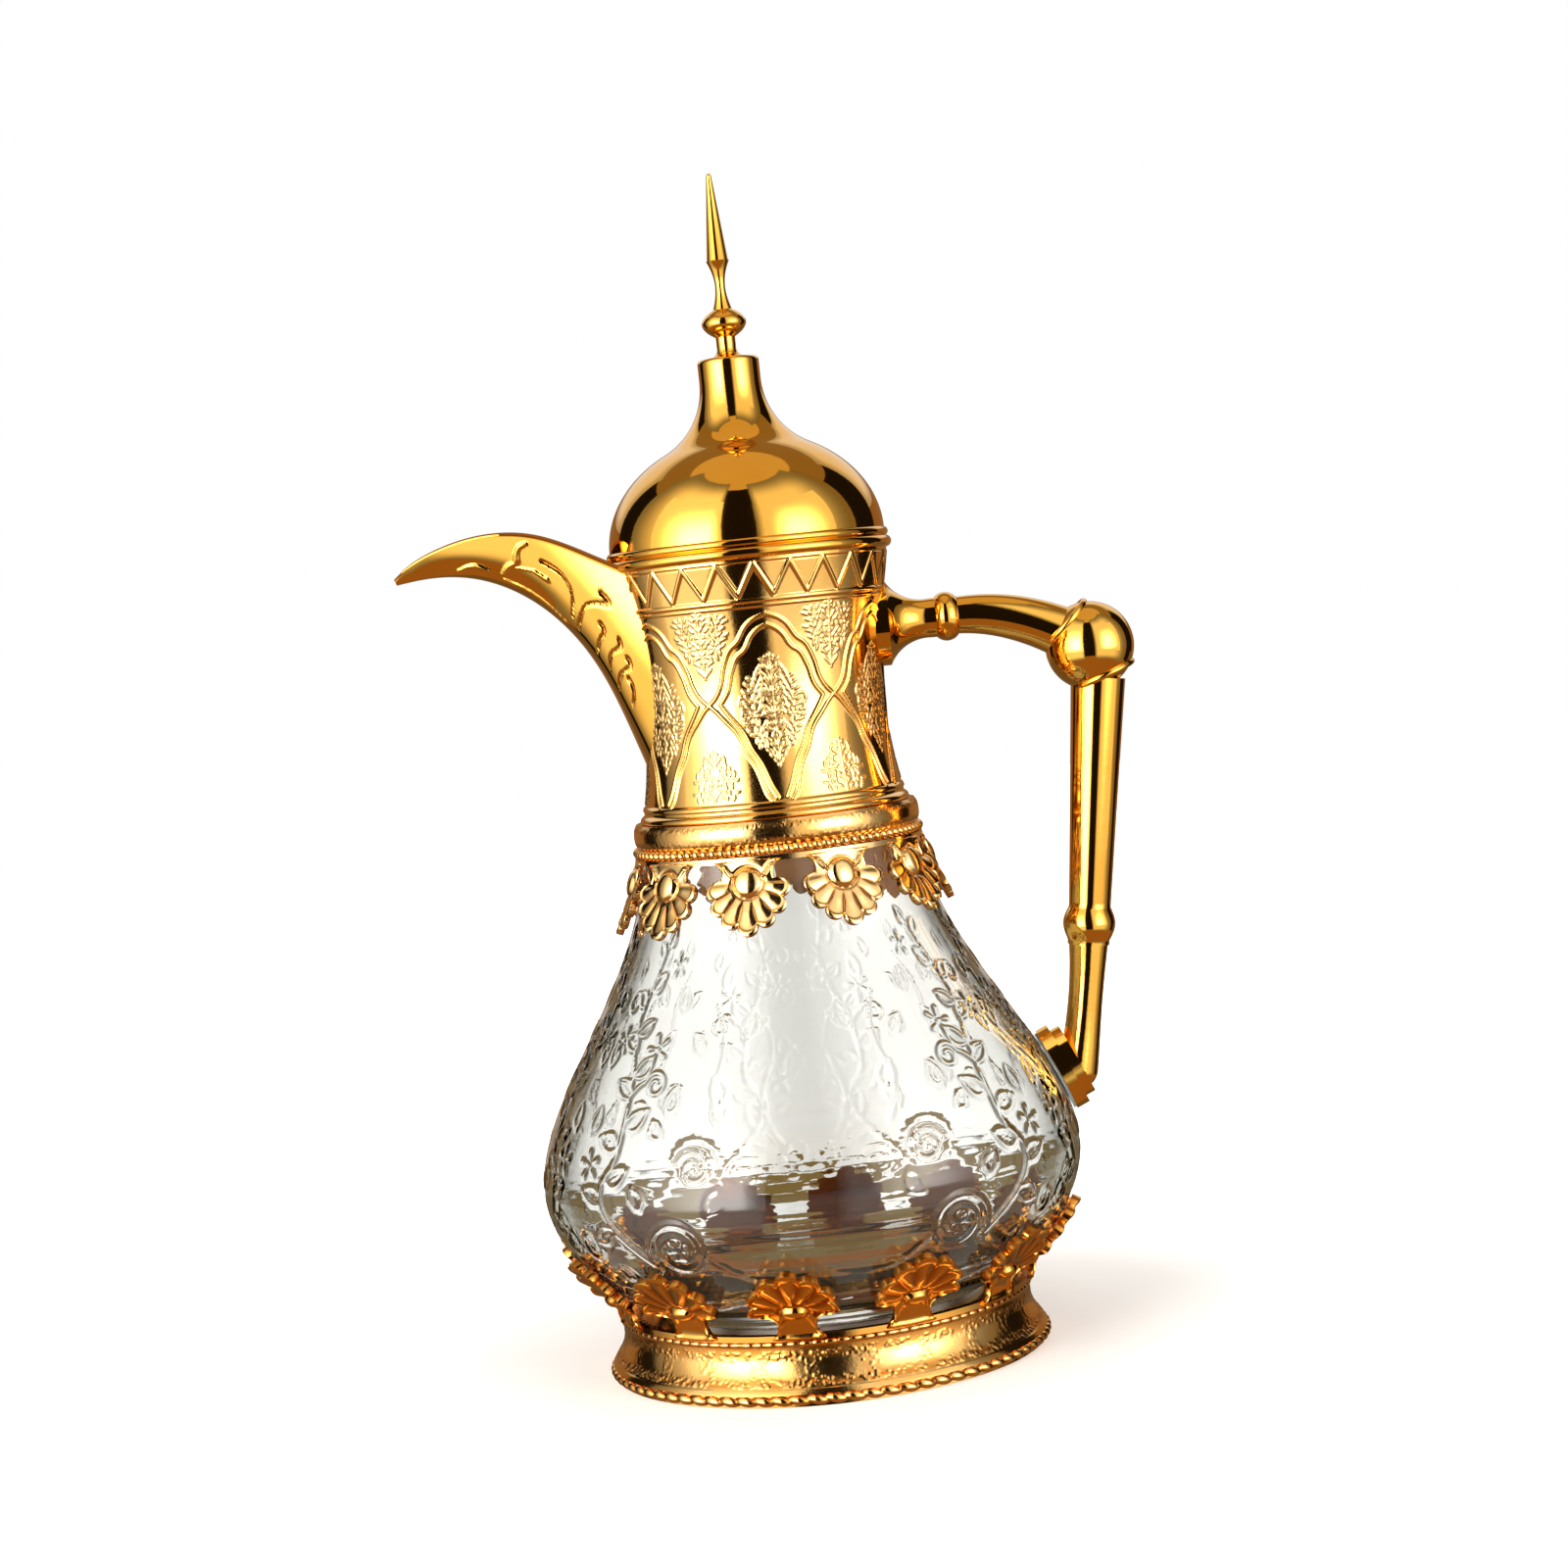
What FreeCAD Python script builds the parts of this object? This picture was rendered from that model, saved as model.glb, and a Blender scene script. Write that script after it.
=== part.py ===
import FreeCAD
import Part
import math
import os

os.makedirs("parts", exist_ok=True)
V = FreeCAD.Vector

# Sizes in mm. The pot stands on Z = 0, its axis is Z, the spout points to -X and the handle to +X.

# Glass body
BELLY_RADIUS = 73.4
BELLY_HEIGHT = 37.5
GLASS_HEIGHT = 130.0
GLASS_NECK_RADIUS = 37.2
GLASS_WALL = 3.5
GLASS_FLOOR = 8.0
BASE_RADIUS = 43.7
BOWL_MARGIN = 4.5
SHOULDER_POWER = 0.85
LIP_CHAMFER = 0.9

# Foot
FOOT_RADIUS = 60.4
FOOT_HEIGHT = 16.5
FOOT_WAIST = 55.6
COVE_MIDDLE = (0.22, 0.42)
FOOT_WALL = 3.2
FOOT_HOLLOW = 1.4
LEDGE_RADIUS = 39.0
LEDGE_THICKNESS = 2.5
FILLET_HEIGHT = 1.8
FILLET_BULGE = 0.85
ROPE_LIFT = 0.3
FOOT_ROPE_HEIGHT = 2.9
FOOT_ROPE_BULGE = 1.4
FOOT_STEP = 1.1
SEAT_THICKNESS = 1.5
SEAT_MARGIN = 0.5

# Pierced galleries: lobe lengths run from the middle lobe to the side lobe
VALLEY_DEPTH = 0.85
END_VALLEY_TURN = 0.72
END_VALLEY_DEPTH = 0.66
GROOVE_DEPTH = 0.45
GROOVE_WIDTH = 0.8
GROOVE_START = 0.2
FOOT_PALMETTES = 12
FOOT_TURN = -8.0
FOOT_GALLERY_WALL = 0.9
FOOT_GALLERY_HEIGHT = 22.0
FOOT_GALLERY_GAP = 0.3
FOOT_GALLERY_BLEND = 4.0
FOOT_BAND_HEIGHT = 1.5
FOOT_BAND_WIDTH = 2.2
FOOT_BAND_STEP = 1.0
FOOT_BOSS_HEIGHT = 8.4
FOOT_TIP_SHARE = 0.7
FOOT_LOBES = (15.6, 14.6, 13.2, 11.8)
FOOT_LOBE_ANGLE = 28.0
FOOT_ROOT = (9.4, 5.6)
FOOT_BOSS = (3.4, 2.1, 1.7)
SHOULDER_PALMETTES = 10
SHOULDER_TURN = -13.0
SHOULDER_GALLERY_WALL = 1.0
SHOULDER_GALLERY_HEIGHT = 20.8
SHOULDER_TIP_GAP = 1.97
SHOULDER_GALLERY_POWER = 1.15
SHOULDER_BAND_HEIGHT = 1.4
SHOULDER_BAND_GAP = 0.2
SHOULDER_BOSS_DROP = 6.4
SHOULDER_TIP_SHARE = 0.9
SHOULDER_LOBES = (14.4, 13.2, 12.2, 11.2)
SHOULDER_LOBE_ANGLE = 26.0
SHOULDER_ROOT = (9.2, 6.9)
SHOULDER_BOSS = (3.2, 3.2, 1.3)

# Neck
SOCKET_DEPTH = 4.0
SOCKET_GAP = 0.2
SOCKET_WALL = 1.3
SOCKET_FLANGE = 1.3
SOCKET_EDGES = (0.45, 0.3)
SEAL_THICKNESS = 1.0
SEAL_WIDTH = 3.0
SHOULDER_ROPE_HEIGHT = 2.7
SHOULDER_ROPE_BULGE = 1.3
SLEEVE_HEIGHT = 67.8
SLEEVE_WALL = 1.3
SLEEVE_FOOT_RADIUS = 36.0
SLEEVE_BEAD_HEIGHT = 2.0
SLEEVE_BEAD_BULGE = 0.8
WAIST_RADIUS = 32.7
WAIST_RISE = 25.5
RING_HEIGHT = 5.4
RING_BULGE = 1.55
RING_FILLET_BULGE = 0.6
RING_LOWER_HEIGHT = 3.2
RING_STEPS = (0.3, 0.2)
RING_BORE_INSET = 2.5

# Lid
MOUTH_RADIUS = 37.2
LID_RISE = 29.4
LID_WALL = 1.2
LID_JOIN_ANGLE = 58.0
LID_NECK_RADIUS = 8.3
LID_NECK_HEIGHT = 6.0
LID_NECK_CHAMFER = 1.2
LID_TOP_WALL = 1.6
COLLAR_DEPTH = 8.0
COLLAR_WALL = 1.2
COLLAR_GAP = 0.5
COLLAR_FLANGE = 1.2
SOLDER_GAP = 0.05

# Finial
SHANK_RADIUS = 2.0
SHANK_LENGTH = 7.5
STEM_RADIUS = 2.6
STEM_HEIGHT = 5.6
STEM_BASE_INSET = 3.0
STEM_FLARE = 0.5
STEM_FLARE_SHARES = (0.22, 0.6)
BEAD_RADIUS = 6.0
BEAD_HEIGHT = 7.4
BEAD_SHAPE = ((0.86, -0.24), (1.0, 0.0), (0.8, 0.3))
SPIKE_WAIST = 1.4
SPIKE_WAIST_HEIGHT = 5.0
SPIKE_RADIUS = 3.1
SPIKE_RADIUS_HEIGHT = 8.0
SPIKE_LENGTH = 23.4
SPIKE_SWELL = (0.72, 0.25)
SPIKE_RIM = (0.94, 0.4)
TIP_RADIUS = 0.7
NUT_FLATS = 7.0
NUT_HEIGHT = 3.2

# Spout: each station gives the rim's reach past the mouth and rise over the neck's end,
# the keel's reach past the waist and rise over the neck's end, and the half width at the rim
SPOUT_STATIONS = (
    (-11.0, -3.6, -5.0, -70.0, 19.2),
    (4.8, 4.8, 3.6, -42.6, 14.8),
    (18.8, 11.5, 12.3, -21.3, 11.2),
    (32.8, 13.3, 26.3, -4.8, 7.7),
    (45.8, 11.0, 41.3, 2.8, 4.6),
    (54.6, 7.1, 53.9, 4.1, 2.1),
    (58.2, 4.4, 62.4, 3.2, 1.0),
)
SPOUT_SHARES = ((1.0, 1.0), (0.93, 0.66), (0.72, 0.3), (0.4, 0.08))
SPOUT_WALL = 1.5
SPOUT_WALL_SHARE = 0.45
SPOUT_KEEL_WALL = 1.2
SPOUT_BEAD_RADII = (1.2, 1.2, 1.2, 1.1, 0.9, 0.7, 0.5)
SPOUT_LID_GAP = 0.5

# Handle
BRACKET_DROP = 20.4
BRACKET_FLANGE_RADIUS = 11.6
BRACKET_FLANGE_EDGE = 1.6
BRACKET_STEM_RADIUS = 5.3
BRACKET_STEM_REACH = 14.6
BRACKET_STEM_LENGTH = 1.5
BRACKET_SWEEP = 0.3
BRACKET_BEAD_RADIUS = 6.6
BRACKET_BEAD_LENGTH = 6.0
SPIGOT_RADIUS = 3.0
SPIGOT_LENGTH = 7.0
SPIGOT_GAP = 0.05
ELBOW_REACH = 55.4
ELBOW_DROP = 11.9
ELBOW_RADIUS = 12.0
COLLAR_RING_RADIUS = 0.9
COLLAR_MARGINS = (0.4, 0.7)
SEAT_REACH = 1.0
ARM_COLLAR_LEAN = 47.0
GRIP_COLLAR_LEAN = 19.5
ARM_RADII = (5.0, 5.3, 5.9, 6.6, 7.4)
ARM_CROWN = 17.5
GRIP_LENGTH = 70.0
GRIP_TOP_RADIUS = 7.7
GRIP_END_RADIUS = 5.7
GRIP_STATIONS = (0.0, 0.35, 0.7, 1.0)
GRIP_TAPER = 0.9
GRIP_OFFSET = 2.6
GRIP_LEAN = 7.7
FERRULE_LENGTH = 11.4
FERRULE_RADIUS = 7.1
FERRULE_END_RADIUS = 5.7
FERRULE_RIM = 1.2
LEG_RADII = (5.3, 4.8, 4.7, 5.0, 5.5)
LEG_BEND = 17.0
TOE_DROP = 3.0
SADDLE_RISE = 53.8
SADDLE_HALF_LENGTH = 12.0
SADDLE_HALF_WIDTH = 8.6
SADDLE_THICKNESS = 2.8
SADDLE_STEP = 2.8
SADDLE_INSET = 1.8
PAD_THICKNESS = 0.8
PAD_MARGIN = 0.6
BOND_GAP = 0.02
SCREW_RADIUS = 2.0
SCREW_DEPTH = 9.0
SCREW_HEAD_RADIUS = 4.4
SCREW_HEAD_HEIGHT = 2.4
WASHER_RADIUS = 5.4
WASHER_THICKNESS = 0.9
HOLE_GAP = 0.1

# Radii and heights worked out from the sizes above
BOWL_DEPTH = BELLY_HEIGHT + BOWL_MARGIN
BOWL_FALL = 1 - math.sqrt(1 - (BELLY_HEIGHT / BOWL_DEPTH) ** 2)
BOWL_HALF_WIDTH = (BELLY_RADIUS - BASE_RADIUS) / BOWL_FALL
FOOT_BAND_RADIUS = FOOT_WAIST + FOOT_BAND_STEP
BELLY_Z = FOOT_HEIGHT + BELLY_HEIGHT
LIP_Z = FOOT_HEIGHT + GLASS_HEIGHT
SOCKET_Z = LIP_Z - SOCKET_DEPTH
GALLERY_Z = SOCKET_Z - SHOULDER_ROPE_HEIGHT
SLEEVE_Z = LIP_Z + SEAL_THICKNESS + SOCKET_FLANGE
WAIST_Z = SLEEVE_Z + WAIST_RISE
RING_Z = SLEEVE_Z + SLEEVE_HEIGHT
LID_Z = RING_Z + RING_HEIGHT
BRACKET_Z = RING_Z - BRACKET_DROP
UP = V(0, 0, 1)


def line(*points):
    spots = [V(r, 0, z) for r, z in points]
    return [Part.LineSegment(a, b).toShape() for a, b in zip(spots, spots[1:])]


def arc(start, middle, end):
    return [Part.Arc(*[V(r, 0, z) for r, z in (start, middle, end)]).toShape()]


def curve(points):
    spline = Part.BSplineCurve()
    spline.interpolate([V(r, 0, z) for r, z in points])
    return [spline.toShape()]


def turned(edges):
    face = Part.Face(Part.Wire(edges))
    return face.revolve(V(0, 0, 0), UP, 360)


def ring(inner, outer, bottom, top):
    return turned(line((inner, bottom), (outer, bottom), (outer, top), (inner, top), (inner, bottom)))


def spread(low, high, count):
    return [low + (high - low) * i / (count - 1) for i in range(count)]


def joined(*shapes):
    return shapes[0].multiFuse(list(shapes[1:])).removeSplitter()


def around(shape, count, turn):
    copies = [shape.copy() for _ in range(count)]
    for i, copy in enumerate(copies):
        copy.rotate(V(0, 0, 0), UP, turn - 90 + 360.0 * i / count)
    return copies


def rod(start, direction, radius, length):
    return Part.makeCylinder(radius, length, start, direction)


def outward(radius_at, z):
    step = 0.01
    slope = (radius_at(z + step) - radius_at(z - step)) / (2 * step)
    length = math.hypot(1, slope)
    return 1 / length, -slope / length


# Outlines by height: the glass has an elliptic bowl up to the belly and a drawn shoulder up to the neck,
# the foot gallery rises from its band and then hugs the bowl, and the shoulder gallery stands off as a skirt
def glass_radius(z):
    if z < BELLY_Z:
        fall = math.sqrt(1 - ((BELLY_Z - z) / BOWL_DEPTH) ** 2)
        return BELLY_RADIUS - BOWL_HALF_WIDTH * (1 - fall)
    share = min(1.0, (z - BELLY_Z) / (LIP_Z - BELLY_Z))
    swell = (1 + math.cos(math.pi * share**SHOULDER_POWER)) / 2
    return GLASS_NECK_RADIUS + (BELLY_RADIUS - GLASS_NECK_RADIUS) * swell


def foot_gallery_radius(z):
    bowl = glass_radius(z) + (FOOT_GALLERY_GAP + FOOT_GALLERY_WALL) / outward(glass_radius, z)[0]
    return (FOOT_BAND_RADIUS + bowl + math.hypot(FOOT_BAND_RADIUS - bowl, FOOT_GALLERY_BLEND)) / 2


def shoulder_gallery_radius(z):
    band = glass_radius(GALLERY_Z) + SHOULDER_BAND_GAP + SHOULDER_GALLERY_WALL
    tip = glass_radius(GALLERY_Z - SHOULDER_GALLERY_HEIGHT) + SHOULDER_TIP_GAP + SHOULDER_GALLERY_WALL
    share = max(0.0, GALLERY_Z - z) / SHOULDER_GALLERY_HEIGHT
    return band + (tip - band) * share**SHOULDER_GALLERY_POWER


def beside(radius_at, z, distance):
    out, rise = outward(radius_at, z)
    return radius_at(z) + distance * out, z + distance * rise


def run(radius_at, low, high, distance, count):
    return [beside(radius_at, z, distance) for z in spread(low, high, count)]


def layer(radius_at, low, high, inner, outer):
    inside = run(radius_at, low, high, inner, 9)
    outside = run(radius_at, low, high, outer, 9)
    outline = curve(inside) + line(inside[-1], outside[-1])
    return turned(outline + curve(outside[::-1]) + line(outside[0], inside[0]))


def core(radius_at, low, high, distance):
    outside = run(radius_at, low, high, distance, 9)
    return turned(curve(outside) + line(outside[-1], (0, outside[-1][1]), (0, outside[0][1]), outside[0]))


def glass_carafe():
    floor_z = FOOT_HEIGHT + GLASS_FLOOR
    bowl = run(glass_radius, FOOT_HEIGHT, BELLY_Z, 0.0, 9)
    shoulder = run(glass_radius, BELLY_Z, LIP_Z - LIP_CHAMFER, 0.0, 15)
    bowl_in = run(glass_radius, floor_z, BELLY_Z, -GLASS_WALL, 9)
    shoulder_in = run(glass_radius, BELLY_Z, LIP_Z - LIP_CHAMFER, -GLASS_WALL, 15)
    top, top_in = shoulder[-1], shoulder_in[-1]
    low_in = bowl_in[0]
    outline = line((0, FOOT_HEIGHT), bowl[0]) + curve(bowl) + curve(shoulder)
    outline += line(top, (top[0] - LIP_CHAMFER, LIP_Z), (top_in[0] + LIP_CHAMFER, LIP_Z), top_in)
    outline += curve(shoulder_in[::-1]) + curve(bowl_in[::-1])
    corner = (low_in[0] - GLASS_WALL * 2, floor_z)
    outline += arc(low_in, ((low_in[0] * 2 + corner[0]) / 3, (low_in[1] + corner[1] * 2) / 3), corner)
    outline += line(corner, (0, floor_z), (0, FOOT_HEIGHT))
    return turned(outline)


# Foot: a flared hollow ring with a cove, a fillet and an inner ledge for the glass
def foot_ring():
    edge = FOOT_RADIUS - FOOT_ROPE_BULGE
    rope_top = ROPE_LIFT + FOOT_ROPE_HEIGHT
    cove_low = rope_top + FOOT_STEP
    cove_top = FOOT_HEIGHT - FILLET_HEIGHT
    shelf = FOOT_HEIGHT - SEAT_THICKNESS
    inner = FOOT_WAIST - FOOT_WALL
    cove_mid = (
        FOOT_WAIST + (edge - FOOT_WAIST) * COVE_MIDDLE[0],
        cove_low + (cove_top - cove_low) * COVE_MIDDLE[1],
    )
    fillet_mid = (FOOT_WAIST + FILLET_BULGE, cove_top + FILLET_HEIGHT / 2)
    hollow = inner - FOOT_HOLLOW
    ledge, ledge_low = LEDGE_RADIUS, shelf - LEDGE_THICKNESS
    outline = line((edge - FOOT_WALL, 0), (edge, 0), (edge, rope_top), (edge + FOOT_STEP / 2, rope_top))
    outline += line((edge + FOOT_STEP / 2, rope_top), (edge, cove_low))
    outline += arc((edge, cove_low), cove_mid, (FOOT_WAIST, cove_top))
    outline += arc((FOOT_WAIST, cove_top), fillet_mid, (FOOT_WAIST, FOOT_HEIGHT))
    outline += line((FOOT_WAIST, FOOT_HEIGHT), (hollow, FOOT_HEIGHT), (hollow, shelf), (ledge, shelf))
    outline += line((ledge, shelf), (ledge, ledge_low), (hollow, ledge_low), (edge - FOOT_WALL, 0))
    return turned(outline)


def foot_rope():
    edge = FOOT_RADIUS - FOOT_ROPE_BULGE
    top = ROPE_LIFT + FOOT_ROPE_HEIGHT
    bulge = arc((edge, ROPE_LIFT), (FOOT_RADIUS, (ROPE_LIFT + top) / 2), (edge, top))
    return turned(bulge + line((edge, top), (edge, ROPE_LIFT)))


def glass_seat():
    inner, outer = LEDGE_RADIUS + SEAT_MARGIN, BASE_RADIUS - SEAT_MARGIN
    return ring(inner, outer, FOOT_HEIGHT - SEAT_THICKNESS, FOOT_HEIGHT)


# Galleries: each palmette is a lobed fan cut from a thin turned shell, with a boss and grooves between lobes,
# and its root runs down or up into the gallery's band
SIDE = V(0, 1, 0)


def fan_face(centre, tip, lobes, lobe_angle, root, drop):
    def spot(across, ahead):
        return centre + SIDE * across + tip * ahead

    def polar(length, angle):
        turn = math.radians(angle)
        return spot(length * math.sin(turn), length * math.cos(turn))

    last = len(lobes) - 1
    steps = range(-last, last + 1)
    lengths = [lobes[abs(i)] for i in steps]
    angles = [lobe_angle * i for i in steps]
    end_angle = angles[-1] + lobe_angle * END_VALLEY_TURN
    end_length = lobes[-1] * END_VALLEY_DEPTH
    valleys = [polar(end_length, -end_angle)]
    for a, b, angle in zip(lengths, lengths[1:], angles):
        valleys.append(polar(VALLEY_DEPTH * (a + b) / 2, angle + lobe_angle / 2))
    valleys.append(polar(end_length, end_angle))
    tips = [polar(length, angle) for length, angle in zip(lengths, angles)]
    edges = [Part.Arc(*spots).toShape() for spots in zip(valleys, tips, valleys[1:])]
    half, waist = root
    right, left = spot(half, -drop), spot(-half, -drop)
    edges.append(Part.Arc(valleys[-1], spot(waist, -drop / 2), right).toShape())
    edges.append(Part.LineSegment(right, left).toShape())
    edges.append(Part.Arc(left, spot(-waist, -drop / 2), valleys[0]).toShape())
    return Part.Face(Part.Wire(edges))


def groove(centre, tip, out, angle, start, end):
    turn = math.radians(angle)
    ray = SIDE * math.sin(turn) + tip * math.cos(turn)
    across = ray.cross(out) * GROOVE_WIDTH
    near, far = centre + ray * start, centre + ray * end
    narrow = across * GROOVE_START
    corners = [near - narrow, far - across, far + across, near + narrow, near - narrow]
    return Part.Face(Part.makePolygon(corners)).extrude(out * end)


def boss_dome(centre, tip, out, boss):
    wide, tall, proud = boss
    stretch = FreeCAD.Matrix()
    stretch.scale(proud, wide, tall)
    dome = Part.makeSphere(1.0).transformGeometry(stretch)
    dome.Placement = FreeCAD.Placement(centre, FreeCAD.Rotation(out, SIDE, tip, "XYZ"))
    return dome


def palmette(radius_at, low, high, wall, root_z, boss_z, tip_z, lobes, lobe_angle, root, boss):
    near, far = beside(radius_at, boss_z, 0.0), beside(radius_at, tip_z, 0.0)
    centre = V(near[0], 0, near[1])
    tip = (V(far[0], 0, far[1]) - centre).normalize()
    out = V(abs(tip.z), 0, -tip.x if tip.z > 0 else tip.x)
    reach = lobes[0] / 2
    sunk = centre - out * reach
    drop = (root_z - boss_z) / -tip.z
    plate = fan_face(sunk, tip, lobes, lobe_angle, root, drop).extrude(out * lobes[0])
    plate = plate.common(layer(radius_at, low, high, -wall, 0.0))
    last = len(lobes) - 1
    start = boss[1] + GROOVE_WIDTH
    turns = [lobe_angle * (i + 0.5) for i in range(-last, last)]
    rays = [groove(sunk, tip, out, turn, start, lobes[0]) for turn in turns]
    cutter = Part.makeCompound(rays).common(layer(radius_at, low, high, -GROOVE_DEPTH, wall))
    dome = boss_dome(centre, tip, out, boss).cut(core(radius_at, low, high, -wall))
    return plate.cut(cutter).fuse(dome)


def foot_gallery():
    low, high = FOOT_HEIGHT, FOOT_HEIGHT + FOOT_GALLERY_HEIGHT
    boss_z = low + FOOT_BOSS_HEIGHT
    tip_z = boss_z + FOOT_LOBES[0] * FOOT_TIP_SHARE
    fan = (FOOT_LOBES, FOOT_LOBE_ANGLE, FOOT_ROOT, FOOT_BOSS)
    root_z = low - FOOT_BAND_HEIGHT
    one = palmette(foot_gallery_radius, low, high, FOOT_GALLERY_WALL, root_z, boss_z, tip_z, *fan)
    band = ring(FOOT_BAND_RADIUS - FOOT_BAND_WIDTH, FOOT_BAND_RADIUS, low, low + FOOT_BAND_HEIGHT)
    return joined(band, *around(one, FOOT_PALMETTES, FOOT_TURN))


def shoulder_gallery():
    low, high = GALLERY_Z - SHOULDER_GALLERY_HEIGHT, GALLERY_Z
    boss_z = high - SHOULDER_BOSS_DROP
    tip_z = boss_z - SHOULDER_LOBES[0] * SHOULDER_TIP_SHARE
    wall = SHOULDER_GALLERY_WALL
    fan = (SHOULDER_LOBES, SHOULDER_LOBE_ANGLE, SHOULDER_ROOT, SHOULDER_BOSS)
    root_z = high - SHOULDER_BAND_HEIGHT / 2
    one = palmette(shoulder_gallery_radius, low, high, wall, root_z, boss_z, tip_z, *fan)
    band_low = high - SHOULDER_BAND_HEIGHT
    edge = shoulder_gallery_radius(band_low)
    band = ring(edge - wall, edge, band_low, high)
    return joined(band, *around(one, SHOULDER_PALMETTES, SHOULDER_TURN))


# Neck: the band grips the glass lip through a soft seal, and the waisted sleeve stands on it
def shoulder_rope():
    inner = glass_radius(GALLERY_Z) + SHOULDER_BAND_GAP
    radius = inner + SHOULDER_GALLERY_WALL / 2
    middle = (radius + SHOULDER_ROPE_BULGE, GALLERY_Z + SHOULDER_ROPE_HEIGHT / 2)
    outline = line((inner, SOCKET_Z), (inner, GALLERY_Z), (radius, GALLERY_Z))
    outline += arc((radius, GALLERY_Z), middle, (radius, SOCKET_Z))
    return turned(outline + line((radius, SOCKET_Z), (inner, SOCKET_Z)))


def neck_band():
    bore = glass_radius(SOCKET_Z) + SOCKET_GAP
    flange_z = LIP_Z + SEAL_THICKNESS
    inner = GLASS_NECK_RADIUS - GLASS_WALL
    low = (bore + SOCKET_WALL * SOCKET_EDGES[0], SOCKET_Z)
    middle = (bore + SOCKET_WALL, (SOCKET_Z + SLEEVE_Z) / 2)
    high = (bore + SOCKET_WALL * SOCKET_EDGES[1], SLEEVE_Z)
    outline = line((bore, SOCKET_Z), low) + arc(low, middle, high)
    outline += line(high, (inner, SLEEVE_Z), (inner, flange_z), (bore, flange_z), (bore, SOCKET_Z))
    return turned(outline)


def neck_seal():
    inner = GLASS_NECK_RADIUS - GLASS_WALL + SEAT_MARGIN / 2
    return ring(inner, inner + SEAL_WIDTH, LIP_Z, LIP_Z + SEAL_THICKNESS)


def sleeve_radius(z):
    end_radius, end_z = (SLEEVE_FOOT_RADIUS, SLEEVE_Z) if z < WAIST_Z else (MOUTH_RADIUS, RING_Z)
    rise = end_z - WAIST_Z
    flare = end_radius - WAIST_RADIUS
    sweep = (rise**2 + flare**2) / (2 * flare)
    return WAIST_RADIUS + sweep - math.copysign(math.sqrt(sweep**2 - (z - WAIST_Z) ** 2), flare)


def sleeve_arc(low, high, inset):
    spots = [(sleeve_radius(z) - inset, z) for z in (low, (low + high) / 2, high)]
    return arc(*spots)


def sleeve_core(inset):
    low, high = (sleeve_radius(SLEEVE_Z) - inset, SLEEVE_Z), (sleeve_radius(RING_Z) - inset, RING_Z)
    outline = sleeve_arc(SLEEVE_Z, WAIST_Z, inset) + sleeve_arc(WAIST_Z, RING_Z, inset)
    return turned(outline + line(high, (0, RING_Z), (0, SLEEVE_Z), low))


def sleeve_bead():
    top = SLEEVE_Z + SLEEVE_BEAD_HEIGHT
    low_radius, top_radius = sleeve_radius(SLEEVE_Z), sleeve_radius(top)
    bulge = (low_radius + SLEEVE_BEAD_BULGE, (SLEEVE_Z + top) / 2)
    inner = low_radius - SLEEVE_WALL
    outline = arc((low_radius, SLEEVE_Z), bulge, (top_radius, top))
    return turned(outline + line((top_radius, top), (inner, top), (inner, SLEEVE_Z), (low_radius, SLEEVE_Z)))


def screw_start():
    wall = sleeve_radius(BRACKET_Z) - SLEEVE_WALL
    hollow = wall - math.sqrt(wall**2 - WASHER_RADIUS**2)
    return wall - hollow - WASHER_THICKNESS


def neck_sleeve(channel):
    inner = sleeve_core(SLEEVE_WALL)
    shell = joined(sleeve_core(0.0), sleeve_bead()).cut(inner)
    hole = rod(V(0, 0, BRACKET_Z), V(1, 0, 0), SCREW_RADIUS + HOLE_GAP, MOUTH_RADIUS * 2)
    return shell.cut(hole).cut(channel)


def ring_bore():
    return MOUTH_RADIUS - RING_BORE_INSET


def ring_core():
    waist_z = RING_Z + RING_LOWER_HEIGHT
    waist_radius, top_radius = [MOUTH_RADIUS + step for step in RING_STEPS]
    foot, waist, top = (MOUTH_RADIUS, RING_Z), (waist_radius, waist_z), (top_radius, LID_Z)
    lower = (MOUTH_RADIUS + RING_BULGE, RING_Z + RING_LOWER_HEIGHT / 2)
    upper = (waist_radius + RING_FILLET_BULGE, (waist_z + LID_Z) / 2)
    outline = arc(foot, lower, waist) + arc(waist, upper, top)
    return turned(outline + line(top, (0, LID_Z), (0, RING_Z), foot))


def mouth_ring():
    return ring_core().cut(rod(V(0, 0, RING_Z), UP, ring_bore(), RING_HEIGHT))


# Spout: an open beak lofted through channel sections from the neck to the tip
def spout_section(station, wall):
    rim_reach, rim_rise, keel_reach, keel_rise, half = station
    rim = V(-MOUTH_RADIUS - rim_reach, 0, RING_Z + rim_rise)
    keel = V(-WAIST_RADIUS - keel_reach, 0, RING_Z + keel_rise)
    deep = rim - keel
    thick = min(wall, half * SPOUT_WALL_SHARE)
    half = half - thick
    keel = keel + deep * (thick * SPOUT_KEEL_WALL / deep.Length)
    deep = rim - keel
    left = [keel + deep * up + V(0, half * out, 0) for out, up in SPOUT_SHARES]
    right = [keel + deep * up - V(0, half * out, 0) for out, up in SPOUT_SHARES]
    return left + [keel] + right[::-1]


def section_curve(points):
    spline = Part.BSplineCurve()
    spline.interpolate(points)
    return spline.toShape()


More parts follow.
